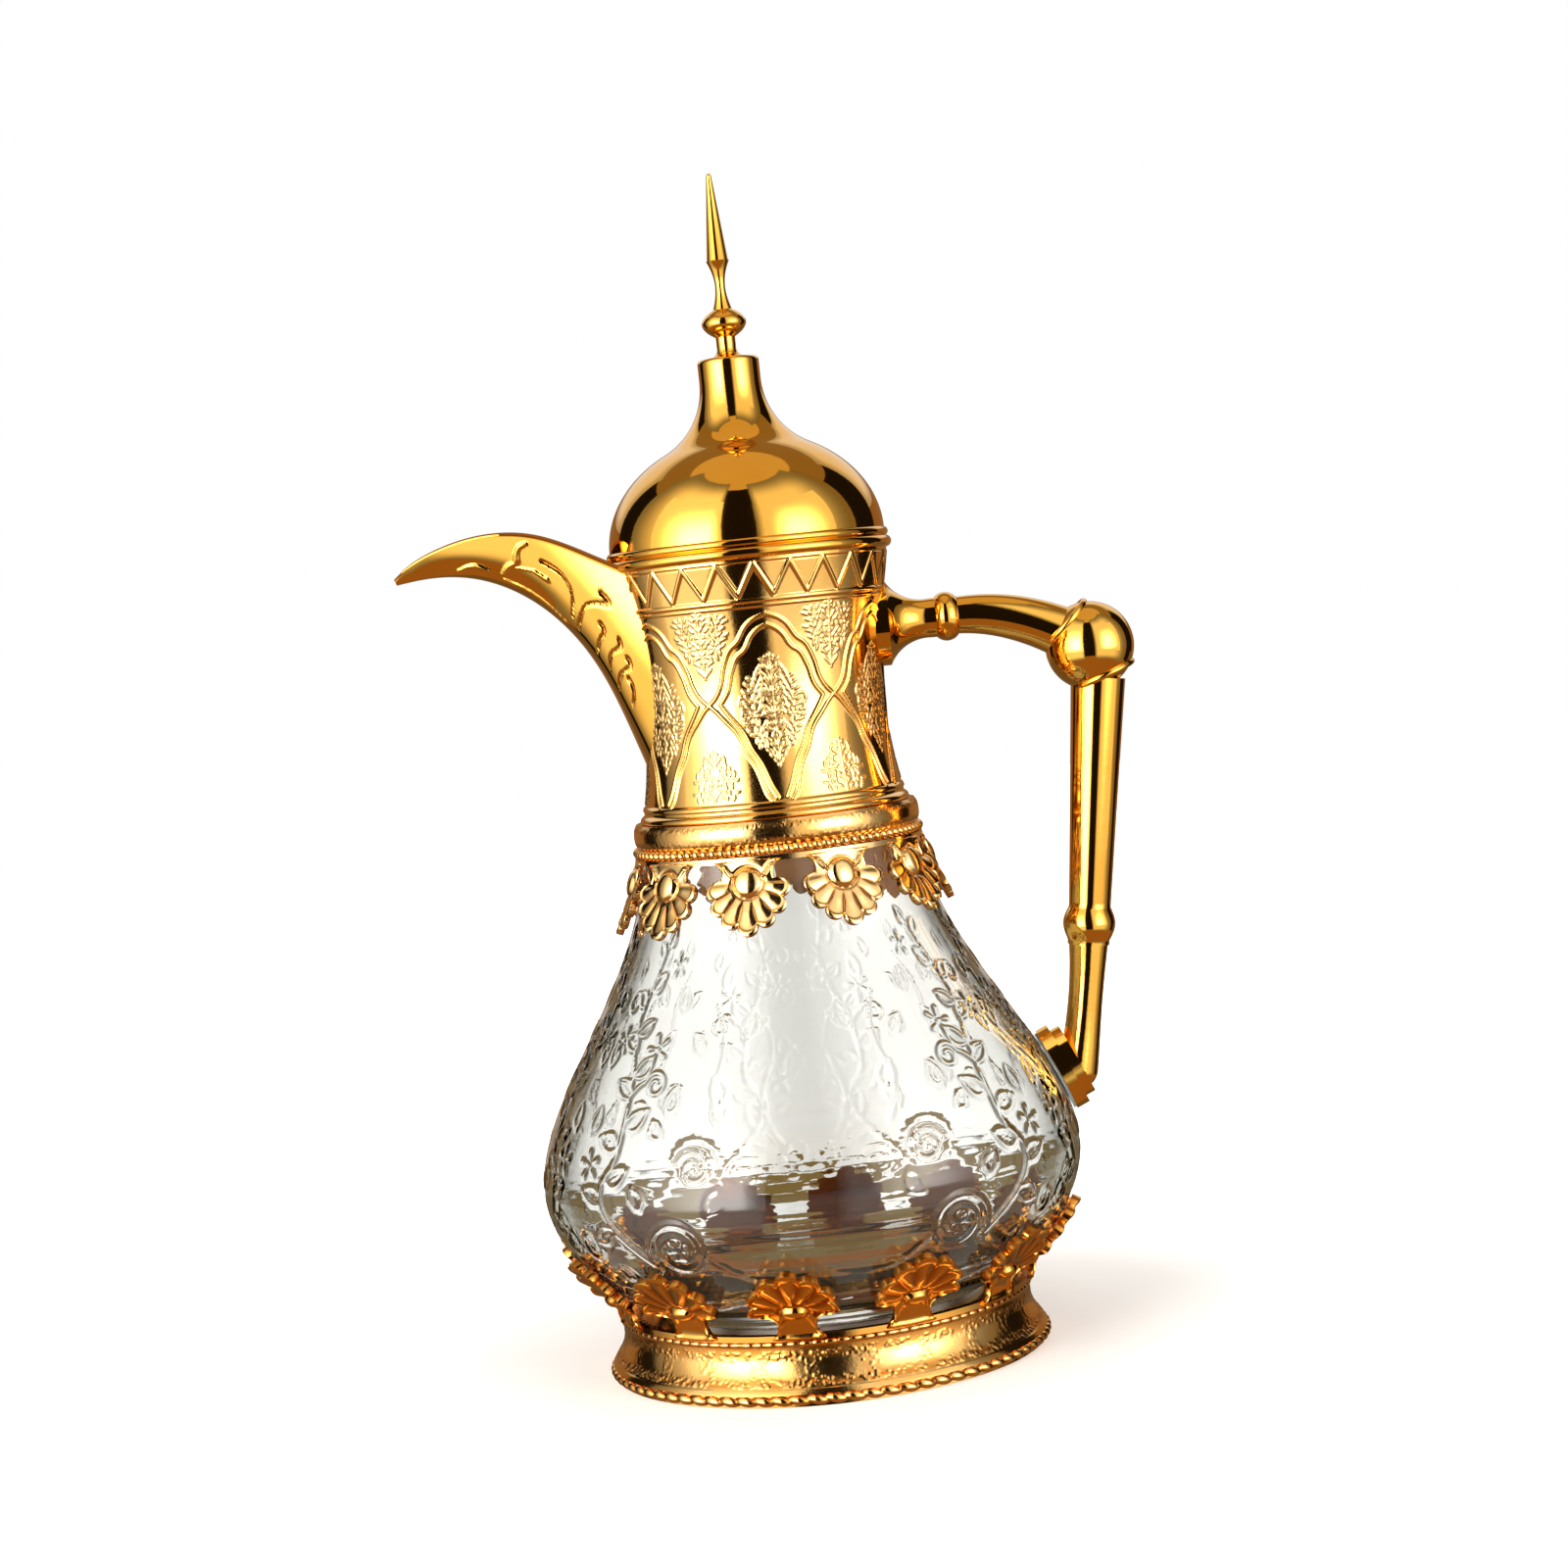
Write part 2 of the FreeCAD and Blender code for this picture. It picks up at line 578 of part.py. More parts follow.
def spout_loft(wall, lift):
    wires = []
    for station in SPOUT_STATIONS:
        points = spout_section(station, wall)
        top = [p + V(0, 0, lift) for p in (points[0], points[-1])]
        edges = [section_curve(points)]
        closing = [points[-1], top[1], top[0], points[0]] if lift else [points[-1], points[0]]
        edges += [Part.LineSegment(a, b).toShape() for a, b in zip(closing, closing[1:])]
        wires.append(Part.Wire(edges))
    return Part.makeLoft(wires, True)


def spout_bead(end):
    spots = [spout_section(station, 0.0)[end] for station in SPOUT_STATIONS]
    ways = [b - a for a, b in zip(spots, spots[1:])]
    ways = [ways[0]] + [a + b for a, b in zip(ways, ways[1:])] + [ways[-1]]
    circles = [Part.makeCircle(r, p, w) for r, p, w in zip(SPOUT_BEAD_RADII, spots, ways)]
    return Part.makeLoft([Part.Wire(c) for c in circles], True)


def spout(channel):
    body = spout_loft(0.0, 0.0).cut(channel)
    body = body.multiFuse([spout_bead(0), spout_bead(-1)])
    lid_space = rod(V(0, 0, LID_Z), UP, MOUTH_RADIUS + SPOUT_LID_GAP, LID_RISE)
    for taken in (sleeve_core(0.0), sleeve_bead(), ring_core(), lid_space):
        body = body.cut(taken)
    return sorted(body.Solids, key=lambda s: s.Volume)[-1]


# Lid: an ogee dome that drops into the mouth, a centring collar and a turned finial
def ogee(radius, rise, neck):
    join = math.radians(LID_JOIN_ANGLE)
    rim = [(radius * math.cos(a), LID_Z + rise * math.sin(a)) for a in spread(0, join, 9)]
    run, climb = -radius * math.sin(join), rise * math.cos(join)
    lean = math.atan2(-run, climb)
    sweep = (rim[-1][0] - neck) / (1 - math.cos(lean))
    end_z = rim[-1][1] + sweep * math.sin(lean)
    half = lean / 2
    middle = (neck + sweep * (1 - math.cos(half)), end_z - sweep * math.sin(half))
    return curve(rim) + arc(rim[-1], middle, (neck, end_z)), end_z


def lid_top():
    return ogee(MOUTH_RADIUS, LID_RISE, LID_NECK_RADIUS)[1] + LID_NECK_HEIGHT


def lid_dome():
    outside, end_z = ogee(MOUTH_RADIUS, LID_RISE, LID_NECK_RADIUS)
    inside, end_in = ogee(MOUTH_RADIUS - LID_WALL, LID_RISE - LID_WALL, LID_NECK_RADIUS - LID_WALL)
    top = lid_top()
    edge = LID_NECK_RADIUS - LID_NECK_CHAMFER
    low_edge = (LID_NECK_RADIUS, top - LID_NECK_CHAMFER)
    slant = LID_NECK_CHAMFER * (1 - math.sqrt(0.5))
    outline = outside + line((LID_NECK_RADIUS, end_z), low_edge)
    outline += arc(low_edge, (LID_NECK_RADIUS - slant, top - slant), (edge, top))
    outline += line((edge, top), (0, top), (0, LID_Z), (MOUTH_RADIUS, LID_Z))
    ceiling = top - LID_TOP_WALL
    neck_in = LID_NECK_RADIUS - LID_WALL
    hollow = inside + line((neck_in, end_in), (neck_in, ceiling), (0, ceiling), (0, LID_Z))
    hollow += line((0, LID_Z), (MOUTH_RADIUS - LID_WALL, LID_Z))
    hole = rod(V(0, 0, ceiling - LID_TOP_WALL), UP, SHANK_RADIUS + HOLE_GAP, LID_TOP_WALL * 3)
    return turned(outline).cut(turned(hollow)).cut(hole)


def lid_collar():
    outer = ring_bore() - COLLAR_GAP
    inner = outer - COLLAR_WALL
    flange = MOUTH_RADIUS - LID_WALL / 2
    low, high = LID_Z - COLLAR_DEPTH, LID_Z + COLLAR_FLANGE
    outline = line((inner, low), (outer, low), (outer, LID_Z), (flange, LID_Z), (flange, high))
    outline += line((flange, high), (inner, high), (inner, low))
    return turned(outline).cut(lid_dome())


def finial():
    top = lid_top()
    bead_low, bead_high = top + STEM_HEIGHT, top + STEM_HEIGHT + BEAD_HEIGHT
    bead_mid = (bead_low + bead_high) / 2
    waist_z = bead_high + SPIKE_WAIST_HEIGHT
    ring_z = waist_z + SPIKE_RADIUS_HEIGHT
    tip_z = ring_z + SPIKE_LENGTH
    base = LID_NECK_RADIUS - STEM_BASE_INSET
    flare_low, flare_high = [top + STEM_HEIGHT * share for share in STEM_FLARE_SHARES]
    bead = [(BEAD_RADIUS * out, bead_mid + BEAD_HEIGHT * up) for out, up in BEAD_SHAPE]
    swell = (SPIKE_RADIUS * SPIKE_SWELL[0], ring_z - SPIKE_RADIUS_HEIGHT * SPIKE_SWELL[1])
    rim = (SPIKE_RADIUS * SPIKE_RIM[0], ring_z + SPIKE_RIM[1])
    shank_z = top - SHANK_LENGTH
    outline = line((0, shank_z), (SHANK_RADIUS, shank_z), (SHANK_RADIUS, top), (base, top))
    outline += arc((base, top), (STEM_RADIUS + STEM_FLARE, flare_low), (STEM_RADIUS, flare_high))
    outline += line((STEM_RADIUS, flare_high), (STEM_RADIUS, bead_low))
    outline += curve([(STEM_RADIUS, bead_low)] + bead + [(STEM_RADIUS, bead_high)])
    outline += curve([(STEM_RADIUS, bead_high), (SPIKE_WAIST, waist_z), swell, (SPIKE_RADIUS, ring_z)])
    outline += line((SPIKE_RADIUS, ring_z), rim, (TIP_RADIUS, tip_z - TIP_RADIUS))
    slant = TIP_RADIUS * math.sqrt(0.5)
    outline += arc((TIP_RADIUS, tip_z - TIP_RADIUS), (slant, tip_z - TIP_RADIUS + slant), (0, tip_z))
    return turned(outline + line((0, tip_z), (0, shank_z)))


def finial_nut():
    low = lid_top() - LID_TOP_WALL - NUT_HEIGHT
    corner = NUT_FLATS / math.sqrt(3)
    turns = [math.radians(60 * i) for i in range(7)]
    corners = [V(corner * math.cos(turn), corner * math.sin(turn), low) for turn in turns]
    nut = Part.Face(Part.makePolygon(corners)).extrude(UP * NUT_HEIGHT)
    return nut.cut(rod(V(0, 0, low), UP, SHANK_RADIUS + SOLDER_GAP, NUT_HEIGHT))


# Handle: cast pieces seated on spigots, from the bracket on the neck to the saddle on the glass
BRACKET_END = sleeve_radius(BRACKET_Z) + BRACKET_STEM_REACH + BRACKET_BEAD_LENGTH
ELBOW = V(sleeve_radius(BRACKET_Z) + ELBOW_REACH, 0, BRACKET_Z - ELBOW_DROP)
LEAN = math.radians(GRIP_LEAN)
GRIP_DOWN = V(-math.sin(LEAN), 0, -math.cos(LEAN))
GRIP_TOP = ELBOW + V(GRIP_OFFSET, 0, 0)
GRIP_FOOT = GRIP_TOP + GRIP_DOWN * GRIP_LENGTH
FERRULE_FOOT = GRIP_FOOT + GRIP_DOWN * FERRULE_LENGTH


def path_point(start, bend, end, t):
    return start * (1 - t) ** 2 + bend * (2 * t * (1 - t)) + end * t**2


def path_way(start, bend, end, t):
    return ((bend - start) * (1 - t) + (end - bend) * t).normalize()


def horn(start, bend, end, radii):
    wires = []
    for t, radius in zip(spread(0, 1, len(radii)), radii):
        circle = Part.makeCircle(radius, path_point(start, bend, end, t), path_way(start, bend, end, t))
        wires.append(Part.Wire(circle))
    return Part.makeLoft(wires, True)


def spun(edges, start, direction):
    solid = turned(edges)
    solid.Placement = FreeCAD.Placement(start, FreeCAD.Rotation(UP, direction))
    return solid


def spigot(start, direction, gap=0.0):
    return rod(start, direction, SPIGOT_RADIUS + gap, SPIGOT_LENGTH + gap)


def handle_bracket():
    wall = sleeve_radius(BRACKET_Z)
    root = wall - BRACKET_FLANGE_RADIUS / 2
    edge = wall + BRACKET_FLANGE_EDGE
    stem = wall + BRACKET_STEM_REACH
    flare = BRACKET_FLANGE_RADIUS - BRACKET_STEM_RADIUS
    sweep = (BRACKET_STEM_RADIUS + flare * BRACKET_SWEEP, edge + (stem - edge) * BRACKET_SWEEP)
    stem_low = (BRACKET_STEM_RADIUS, stem - BRACKET_STEM_LENGTH)
    bead_mid = (BRACKET_BEAD_RADIUS, (stem + BRACKET_END) / 2)
    outline = line((0, root), (BRACKET_FLANGE_RADIUS, root), (BRACKET_FLANGE_RADIUS, edge))
    outline += arc((BRACKET_FLANGE_RADIUS, edge), sweep, stem_low)
    outline += line(stem_low, (BRACKET_STEM_RADIUS, stem))
    outline += arc((BRACKET_STEM_RADIUS, stem), bead_mid, (ARM_RADII[0], BRACKET_END))
    outline += line((ARM_RADII[0], BRACKET_END), (0, BRACKET_END), (0, root))
    along = V(1, 0, 0)
    body = spun(outline, V(0, 0, BRACKET_Z), along).cut(sleeve_core(0.0))
    body = body.fuse(spigot(V(BRACKET_END, 0, BRACKET_Z), along))
    depth = wall + SCREW_DEPTH
    return body.cut(rod(V(0, 0, BRACKET_Z), along, SCREW_RADIUS + SOLDER_GAP, depth))


def bracket_screw():
    along = V(1, 0, 0)
    start = screw_start()
    length = sleeve_radius(BRACKET_Z) + SCREW_DEPTH - HOLE_GAP - start
    shank = rod(V(start, 0, BRACKET_Z), along, SCREW_RADIUS, length)
    head = rod(V(start - SCREW_HEAD_HEIGHT, 0, BRACKET_Z), along, SCREW_HEAD_RADIUS, SCREW_HEAD_HEIGHT)
    return joined(shank, head)


def screw_seal():
    along = V(1, 0, 0)
    start = V(screw_start(), 0, BRACKET_Z)
    disc = rod(start, along, WASHER_RADIUS, WASHER_RADIUS).common(sleeve_core(SLEEVE_WALL))
    return disc.cut(rod(start, along, SCREW_RADIUS + HOLE_GAP, WASHER_RADIUS))


def arm_path():
    start = V(BRACKET_END, 0, BRACKET_Z)
    return start, start + V(ARM_CROWN, 0, 0), ELBOW


def arm_collar_way():
    lean = math.radians(ARM_COLLAR_LEAN)
    return V(-math.cos(lean), 0, math.sin(lean))


def grip_collar_way():
    lean = math.radians(GRIP_COLLAR_LEAN)
    return V(math.sin(lean), 0, -math.cos(lean))


def ball_collar(way, radius):
    depth = math.sqrt(ELBOW_RADIUS**2 - radius**2)
    return Part.makeTorus(radius, COLLAR_RING_RADIUS, ELBOW + way * depth, way)


def knuckle():
    ball = Part.makeSphere(ELBOW_RADIUS, ELBOW)
    arm_collar = ball_collar(arm_collar_way(), ARM_RADII[-1] + COLLAR_MARGINS[0])
    grip_collar = ball_collar(grip_collar_way(), GRIP_TOP_RADIUS + COLLAR_MARGINS[1])
    return joined(ball, arm_collar, grip_collar)


def elbow_seat(gap):
    start, bend, end = arm_path()
    way = path_way(start, bend, end, 1.0)
    reach = ELBOW_RADIUS + SEAT_REACH
    into = spigot(ELBOW - way * reach, way, gap)
    down = spigot(GRIP_TOP + GRIP_DOWN * reach, GRIP_DOWN * -1, gap)
    return into, down


def handle_elbow():
    into, down = elbow_seat(SPIGOT_GAP)
    return knuckle().cut(into).cut(down)


def handle_arm():
    start, bend, end = arm_path()
    body = horn(start, bend, end, ARM_RADII).cut(knuckle())
    body = sorted(body.Solids, key=lambda s: s.Volume)[-1]
    body = body.fuse(elbow_seat(0.0)[0])
    return body.cut(spigot(start, V(1, 0, 0), SPIGOT_GAP))


def handle_grip():
    wires = []
    for share in GRIP_STATIONS:
        radius = GRIP_TOP_RADIUS + (GRIP_END_RADIUS - GRIP_TOP_RADIUS) * share**GRIP_TAPER
        spot = GRIP_TOP + GRIP_DOWN * (GRIP_LENGTH * share)
        wires.append(Part.Wire(Part.makeCircle(radius, spot, GRIP_DOWN)))
    body = Part.makeLoft(wires, True).cut(knuckle())
    body = sorted(body.Solids, key=lambda s: s.Volume)[-1]
    body = body.fuse(elbow_seat(0.0)[1])
    return body.cut(spigot(GRIP_FOOT, GRIP_DOWN * -1, SPIGOT_GAP))


def handle_ferrule():
    bore = SPIGOT_RADIUS + SPIGOT_GAP
    end, low, high = FERRULE_END_RADIUS, FERRULE_RIM, FERRULE_LENGTH - FERRULE_RIM
    swell = FERRULE_RADIUS - end
    belly = [(end + swell * math.sin(math.pi * t), low + (high - low) * t) for t in spread(0, 1, 9)]
    belly = [(end, low)] + belly[1:-1] + [(end, high)]
    outline = line((bore, 0), (end, 0), (end, low)) + curve(belly)
    outline += line((end, high), (end, FERRULE_LENGTH), (bore, FERRULE_LENGTH), (bore, 0))
    return spun(outline, GRIP_FOOT, GRIP_DOWN)


def oval(start, direction, half_length, half_width, height):
    upright = V(-direction.z, 0, direction.x)
    ellipse = Part.Ellipse(start + upright * half_length, start + V(0, half_width, 0), start)
    return Part.Face(Part.Wire(ellipse.toShape())).extrude(direction * height)


def saddle_frame():
    out, rise = outward(glass_radius, FOOT_HEIGHT + SADDLE_RISE)
    radius, z = beside(glass_radius, FOOT_HEIGHT + SADDLE_RISE, 0.0)
    return V(radius, 0, z), V(out, 0, rise)


def saddle_span():
    middle = FOOT_HEIGHT + SADDLE_RISE
    return middle - SADDLE_HALF_LENGTH * 2, middle + SADDLE_HALF_LENGTH * 2


def handle_leg():
    seat, out = saddle_frame()
    end = seat + out * (PAD_THICKNESS + SADDLE_THICKNESS + SADDLE_STEP) - V(0, 0, TOE_DROP)
    bend = FERRULE_FOOT + GRIP_DOWN * LEG_BEND
    leg = horn(FERRULE_FOOT, bend, end, LEG_RADII)
    toe = Part.makeSphere(LEG_RADII[-1], end)
    sunk = seat - out * SADDLE_HALF_WIDTH
    deep = SADDLE_HALF_WIDTH + PAD_THICKNESS + SADDLE_THICKNESS
    plate = oval(sunk, out, SADDLE_HALF_LENGTH, SADDLE_HALF_WIDTH, deep)
    boss_length, boss_width = SADDLE_HALF_LENGTH - SADDLE_INSET, SADDLE_HALF_WIDTH - SADDLE_INSET
    boss = oval(sunk, out, boss_length, boss_width, deep + SADDLE_STEP)
    body = joined(leg, toe, plate, boss).cut(core(glass_radius, *saddle_span(), PAD_THICKNESS + BOND_GAP))
    stud = rod(FERRULE_FOOT, GRIP_DOWN * -1, SPIGOT_RADIUS, FERRULE_LENGTH + SPIGOT_LENGTH)
    return joined(body, stud)


def handle_pad():
    seat, out = saddle_frame()
    sunk = seat - out * SADDLE_HALF_WIDTH
    length, width = SADDLE_HALF_LENGTH - PAD_MARGIN, SADDLE_HALF_WIDTH - PAD_MARGIN
    slug = oval(sunk, out, length, width, SADDLE_HALF_WIDTH * 2)
    return slug.common(layer(glass_radius, *saddle_span(), BOND_GAP, PAD_THICKNESS))


channel = spout_loft(SPOUT_WALL, SPOUT_WALL * 4)
nodes = {
    "glass_carafe": glass_carafe(),
    "foot_ring": foot_ring(),
    "foot_rope": foot_rope(),
    "foot_gallery": foot_gallery(),
    "glass_seat": glass_seat(),
    "shoulder_gallery": shoulder_gallery(),
    "shoulder_rope": shoulder_rope(),
    "neck_band": neck_band(),
    "neck_seal": neck_seal(),
    "neck_sleeve": neck_sleeve(channel),
    "mouth_ring": mouth_ring(),
    "spout": spout(channel),
    "lid_dome": lid_dome(),
    "lid_collar": lid_collar(),
    "finial": finial(),
    "finial_nut": finial_nut(),
    "handle_bracket": handle_bracket(),
    "bracket_screw": bracket_screw(),
    "screw_seal": screw_seal(),
    "handle_arm": handle_arm(),
    "handle_elbow": handle_elbow(),
    "handle_grip": handle_grip(),
    "handle_ferrule": handle_ferrule(),
    "handle_leg": handle_leg(),
    "handle_pad": handle_pad(),
}
for name, shape in nodes.items():
    shape.exportStep("parts/" + name + ".step")
    print(name, len(shape.Solids), shape.isValid(), round(shape.Volume, 1))
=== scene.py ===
import math

import bpy
import numpy as np
from mathutils import Matrix, Vector
from mathutils.bvhtree import BVHTree


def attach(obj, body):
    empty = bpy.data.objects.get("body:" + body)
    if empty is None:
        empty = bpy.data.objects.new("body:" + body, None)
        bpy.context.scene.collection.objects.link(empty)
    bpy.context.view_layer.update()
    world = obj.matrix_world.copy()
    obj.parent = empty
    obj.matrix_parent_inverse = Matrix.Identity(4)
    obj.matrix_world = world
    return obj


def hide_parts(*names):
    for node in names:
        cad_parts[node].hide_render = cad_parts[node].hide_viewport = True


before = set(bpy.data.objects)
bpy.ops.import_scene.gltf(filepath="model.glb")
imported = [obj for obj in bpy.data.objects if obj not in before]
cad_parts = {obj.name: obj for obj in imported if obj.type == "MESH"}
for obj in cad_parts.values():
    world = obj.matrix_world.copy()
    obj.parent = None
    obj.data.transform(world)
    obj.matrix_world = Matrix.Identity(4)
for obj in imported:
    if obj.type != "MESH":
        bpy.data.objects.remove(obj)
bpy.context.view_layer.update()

MM = 0.001

# Sizes of the pot in mm: it stands on Z = 0, its spout points to -X and its handle to +X.
# Angles round the axis start at the front, -Y, and grow towards +X.
BELLY_RADIUS = 73.4
BELLY_Z = 54.0
BASE_RADIUS = 43.7
BOWL_DEPTH = 42.0
GLASS_NECK_RADIUS = 37.2
GLASS_WALL = 3.5
GLASS_FLOOR_Z = 24.5
SHOULDER_POWER = 0.85
LIP_CHAMFER = 0.9
FOOT_HEIGHT = 16.5
FOOT_BAND_RADIUS = 56.6
SOCKET_Z = 142.5
LIP_Z = 146.5
GALLERY_Z = 139.8
SLEEVE_Z = 148.8
SLEEVE_WALL = 1.3
SLEEVE_FOOT_RADIUS = 36.0
WAIST_RADIUS = 32.7
WAIST_Z = 174.3
RING_Z = 216.6
LID_Z = 222.0
MOUTH_RADIUS = 37.2
BRACKET_Z = 196.2


# Lines: arcs, smooth curves and joined runs of points
def bow(start, middle, end, count=13):
    (x1, y1), (x2, y2), (x3, y3) = start, middle, end
    s1, s2, s3 = x1**2 + y1**2, x2**2 + y2**2, x3**2 + y3**2
    d = 2 * (x1 * (y2 - y3) + x2 * (y3 - y1) + x3 * (y1 - y2))
    cx = (s1 * (y2 - y3) + s2 * (y3 - y1) + s3 * (y1 - y2)) / d
    cy = (s1 * (x3 - x2) + s2 * (x1 - x3) + s3 * (x2 - x1)) / d
    first, via, last = [math.atan2(y - cy, x - cx) for x, y in (start, middle, end)]
    sweep = (last - first) % math.tau
    if (via - first) % math.tau > sweep:
        sweep -= math.tau
    turn = first + sweep * np.linspace(0, 1, count)
    radius = math.hypot(x1 - cx, y1 - cy)
    return np.stack([cx + radius * np.cos(turn), cy + radius * np.sin(turn)], -1)


def smooth(points, count):
    spots = np.asarray(points, float)
    step = np.linalg.norm(np.diff(spots, axis=0), axis=1)
    along = np.concatenate([[0], np.cumsum(step)])
    n = len(spots)
    bend = np.eye(n)
    pull = np.zeros_like(spots)
    for i in range(1, n - 1):
        bend[i, i - 1 : i + 2] = step[i - 1], 2 * (step[i - 1] + step[i]), step[i]
        pull[i] = 6 * ((spots[i + 1] - spots[i]) / step[i] - (spots[i] - spots[i - 1]) / step[i - 1])
    curve = np.linalg.solve(bend, pull)
    s = np.linspace(0, along[-1], count)
    i = np.clip(np.searchsorted(along, s) - 1, 0, n - 2)
    width = step[i][:, None]
    b = (s - along[i])[:, None] / width
    a = 1 - b
    sag = ((a**3 - a) * curve[i] + (b**3 - b) * curve[i + 1]) * width**2 / 6
    return a * spots[i] + b * spots[i + 1] + sag


def run(*parts):
    joined = np.vstack([np.atleast_2d(np.asarray(p, float)) for p in parts])
    keep = np.ones(len(joined), bool)
    keep[1:] = np.linalg.norm(np.diff(joined, axis=0), axis=1) > 1e-6
    return joined[keep]


def refine(line, step):
    parts = [line[:1]]
    for a, b in zip(line, line[1:]):
        count = max(1, int(math.ceil(np.linalg.norm(b - a) / step)))
        parts.append(a + (b - a) * (np.arange(1, count + 1) / count)[:, None])
    return np.vstack(parts)


def ease(low, high, value):
    share = np.clip((value - low) / (high - low), 0, 1)
    return share * share * (3 - 2 * share)


# Meshes: a part is its points in mm, its faces and a value per point that carries matt tooling on the sleeve
# and painted shade in grooves and gaps elsewhere
def grid_faces(rows, cols, close_rows=False, close_cols=True):
    i = np.arange(rows if close_rows else rows - 1)
    j = np.arange(cols if close_cols else cols - 1)
    a, b = np.meshgrid(i, j, indexing="ij")
    c, d = (a + 1) % rows, (b + 1) % cols
    return np.stack([a * cols + b, a * cols + d, c * cols + d, c * cols + b], -1).reshape(-1, 4)


def fan_faces(hub, loop):
    return np.stack([np.full(len(loop), hub), loop, np.roll(loop, -1)], -1)


def capped_faces(rows, cols):
    """A tube of rings with a fan of faces at each end, whose two hubs come after the rings."""
    first, hub = np.arange(cols), rows * cols
    last = first + (rows - 1) * cols
    return [grid_faces(rows, cols), fan_faces(hub, first[::-1]), fan_faces(hub + 1, last)]


def full_turn(steps):
    return np.arange(steps) * math.tau / steps


def merged(*parts):
    points, faces, tooling_and_shade, start = [], [], [], 0
    for spots, polygons, value in parts:
        points.append(spots)
        faces += [f + start for f in polygons]
        tooling_and_shade.append(np.broadcast_to(value, len(spots)))
        start += len(spots)
    return np.vstack(points), faces, np.concatenate(tooling_and_shade)


def build_mesh(name, points, faces):
    mesh = bpy.data.meshes.new(name)
    mesh.vertices.add(len(points))
    mesh.vertices.foreach_set("co", (np.asarray(points) * MM).astype(np.float32).ravel())
    corners = np.concatenate([f.ravel() for f in faces]).astype(np.int32)
    sizes = np.concatenate([np.full(len(f), f.shape[1]) for f in faces])
    starts = np.concatenate([[0], np.cumsum(sizes)[:-1]]).astype(np.int32)
    mesh.loops.add(len(corners))
    mesh.loops.foreach_set("vertex_index", corners)
    mesh.polygons.add(len(sizes))
    mesh.polygons.foreach_set("loop_start", starts)
    mesh.update(calc_edges=True)
    mesh.validate()
    return mesh


def mark_points(mesh, name, values):
    mark = mesh.attributes.new(name, "FLOAT", "POINT")
    mark.data.foreach_set("value", np.ravel(values).astype(np.float32))


def add_piece(name, part, material, node, body="pot", crease=38.0):
    points, faces, tooling_and_shade = part
    mesh = build_mesh(name, points, faces)
    mark_points(mesh, "tooling_and_shade", np.broadcast_to(tooling_and_shade, len(points)))
    mesh.materials.append(material)
    mesh.shade_smooth()
    mesh.set_sharp_from_angle(angle=math.radians(crease))
    piece = bpy.data.objects.new(name, mesh)
    bpy.context.scene.collection.objects.link(piece)
    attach(piece, body)
    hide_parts(node)


def ring_points(radius, level, turn):
    return np.stack([radius * np.sin(turn), -radius * np.cos(turn), level + 0 * radius], -1)


def profile_normals(profile, closed):
    if closed:
        way = np.roll(profile, -1, 0) - np.roll(profile, 1, 0)
    else:
        way = np.gradient(profile, axis=0)
    length = np.maximum(np.hypot(way[:, 0], way[:, 1]), 1e-9)
    return np.stack([way[:, 1], -way[:, 0]], -1) / length[:, None]


def turned(profile, steps=256, relief=None, tooling_and_shade=0.0):
    """A closed outline in radius and height, outside upwards, swept round the axis."""
    turn = full_turn(steps)
    out = profile_normals(profile, True)
    height = np.zeros((len(profile), steps)) if relief is None else relief
    radius = profile[:, :1] + height * out[:, :1]
    level = profile[:, 1:] + height * out[:, 1:]
    points = ring_points(radius, level, turn).reshape(-1, 3)
    value = np.broadcast_to(tooling_and_shade, height.shape).ravel()
    return points, [grid_faces(len(profile), steps, close_rows=True)], value


def solid_turned(profile, steps=128, relief=None, tooling_and_shade=0.0):
    """As turned, for an outline that starts and ends on the axis."""
    turn = full_turn(steps)
    out = profile_normals(profile, False)
    height = np.zeros((len(profile), steps)) if relief is None else relief
    radius = profile[1:-1, :1] + (height * out[:, :1])[1:-1]
    level = profile[1:-1, 1:] + (height * out[:, 1:])[1:-1]
    points = ring_points(radius, level, turn).reshape(-1, 3)
    rows = len(profile) - 2
    ends = np.array([[0, 0, profile[0, 1]], [0, 0, profile[-1, 1]]])
    value = np.broadcast_to(tooling_and_shade, height.shape)[1:-1].ravel()
    return np.vstack([points, ends]), capped_faces(rows, steps), np.concatenate([value, [0, 0]])


def placed(part, start, direction):
    points, faces, tooling_and_shade = part
    turn = np.array(Vector((0, 0, 1)).rotation_difference(Vector(direction)).to_matrix())
    return points @ turn.T + np.asarray(start), faces, tooling_and_shade


def pushed_out(points, least):
    """Points that lie nearer to the axis than the least radius move out to it."""
    radius = np.hypot(points[..., 0], points[..., 1])
    push = np.where(radius < least, least / np.maximum(radius, 1e-6), 1.0)
    return points * np.stack([push, push, np.ones_like(push)], -1)


def swept(path, radii, steps=64):
    """A round bar along a path in the XZ plane, with flat ends."""
    way = np.gradient(path, axis=0)
    way /= np.linalg.norm(way, axis=1)[:, None]
    side = np.stack([-way[:, 2], 0 * way[:, 0], way[:, 0]], -1)
    turn = full_turn(steps)
    cross = np.array([0.0, 1.0, 0.0])
    circle = np.cos(turn)[None, :, None] * side[:, None, :] + np.sin(turn)[None, :, None] * -cross
    points = path[:, None, :] + circle * radii[:, None, None]
    return np.vstack([points.reshape(-1, 3), path[[0, -1]]]), capped_faces(len(path), steps), 0.0


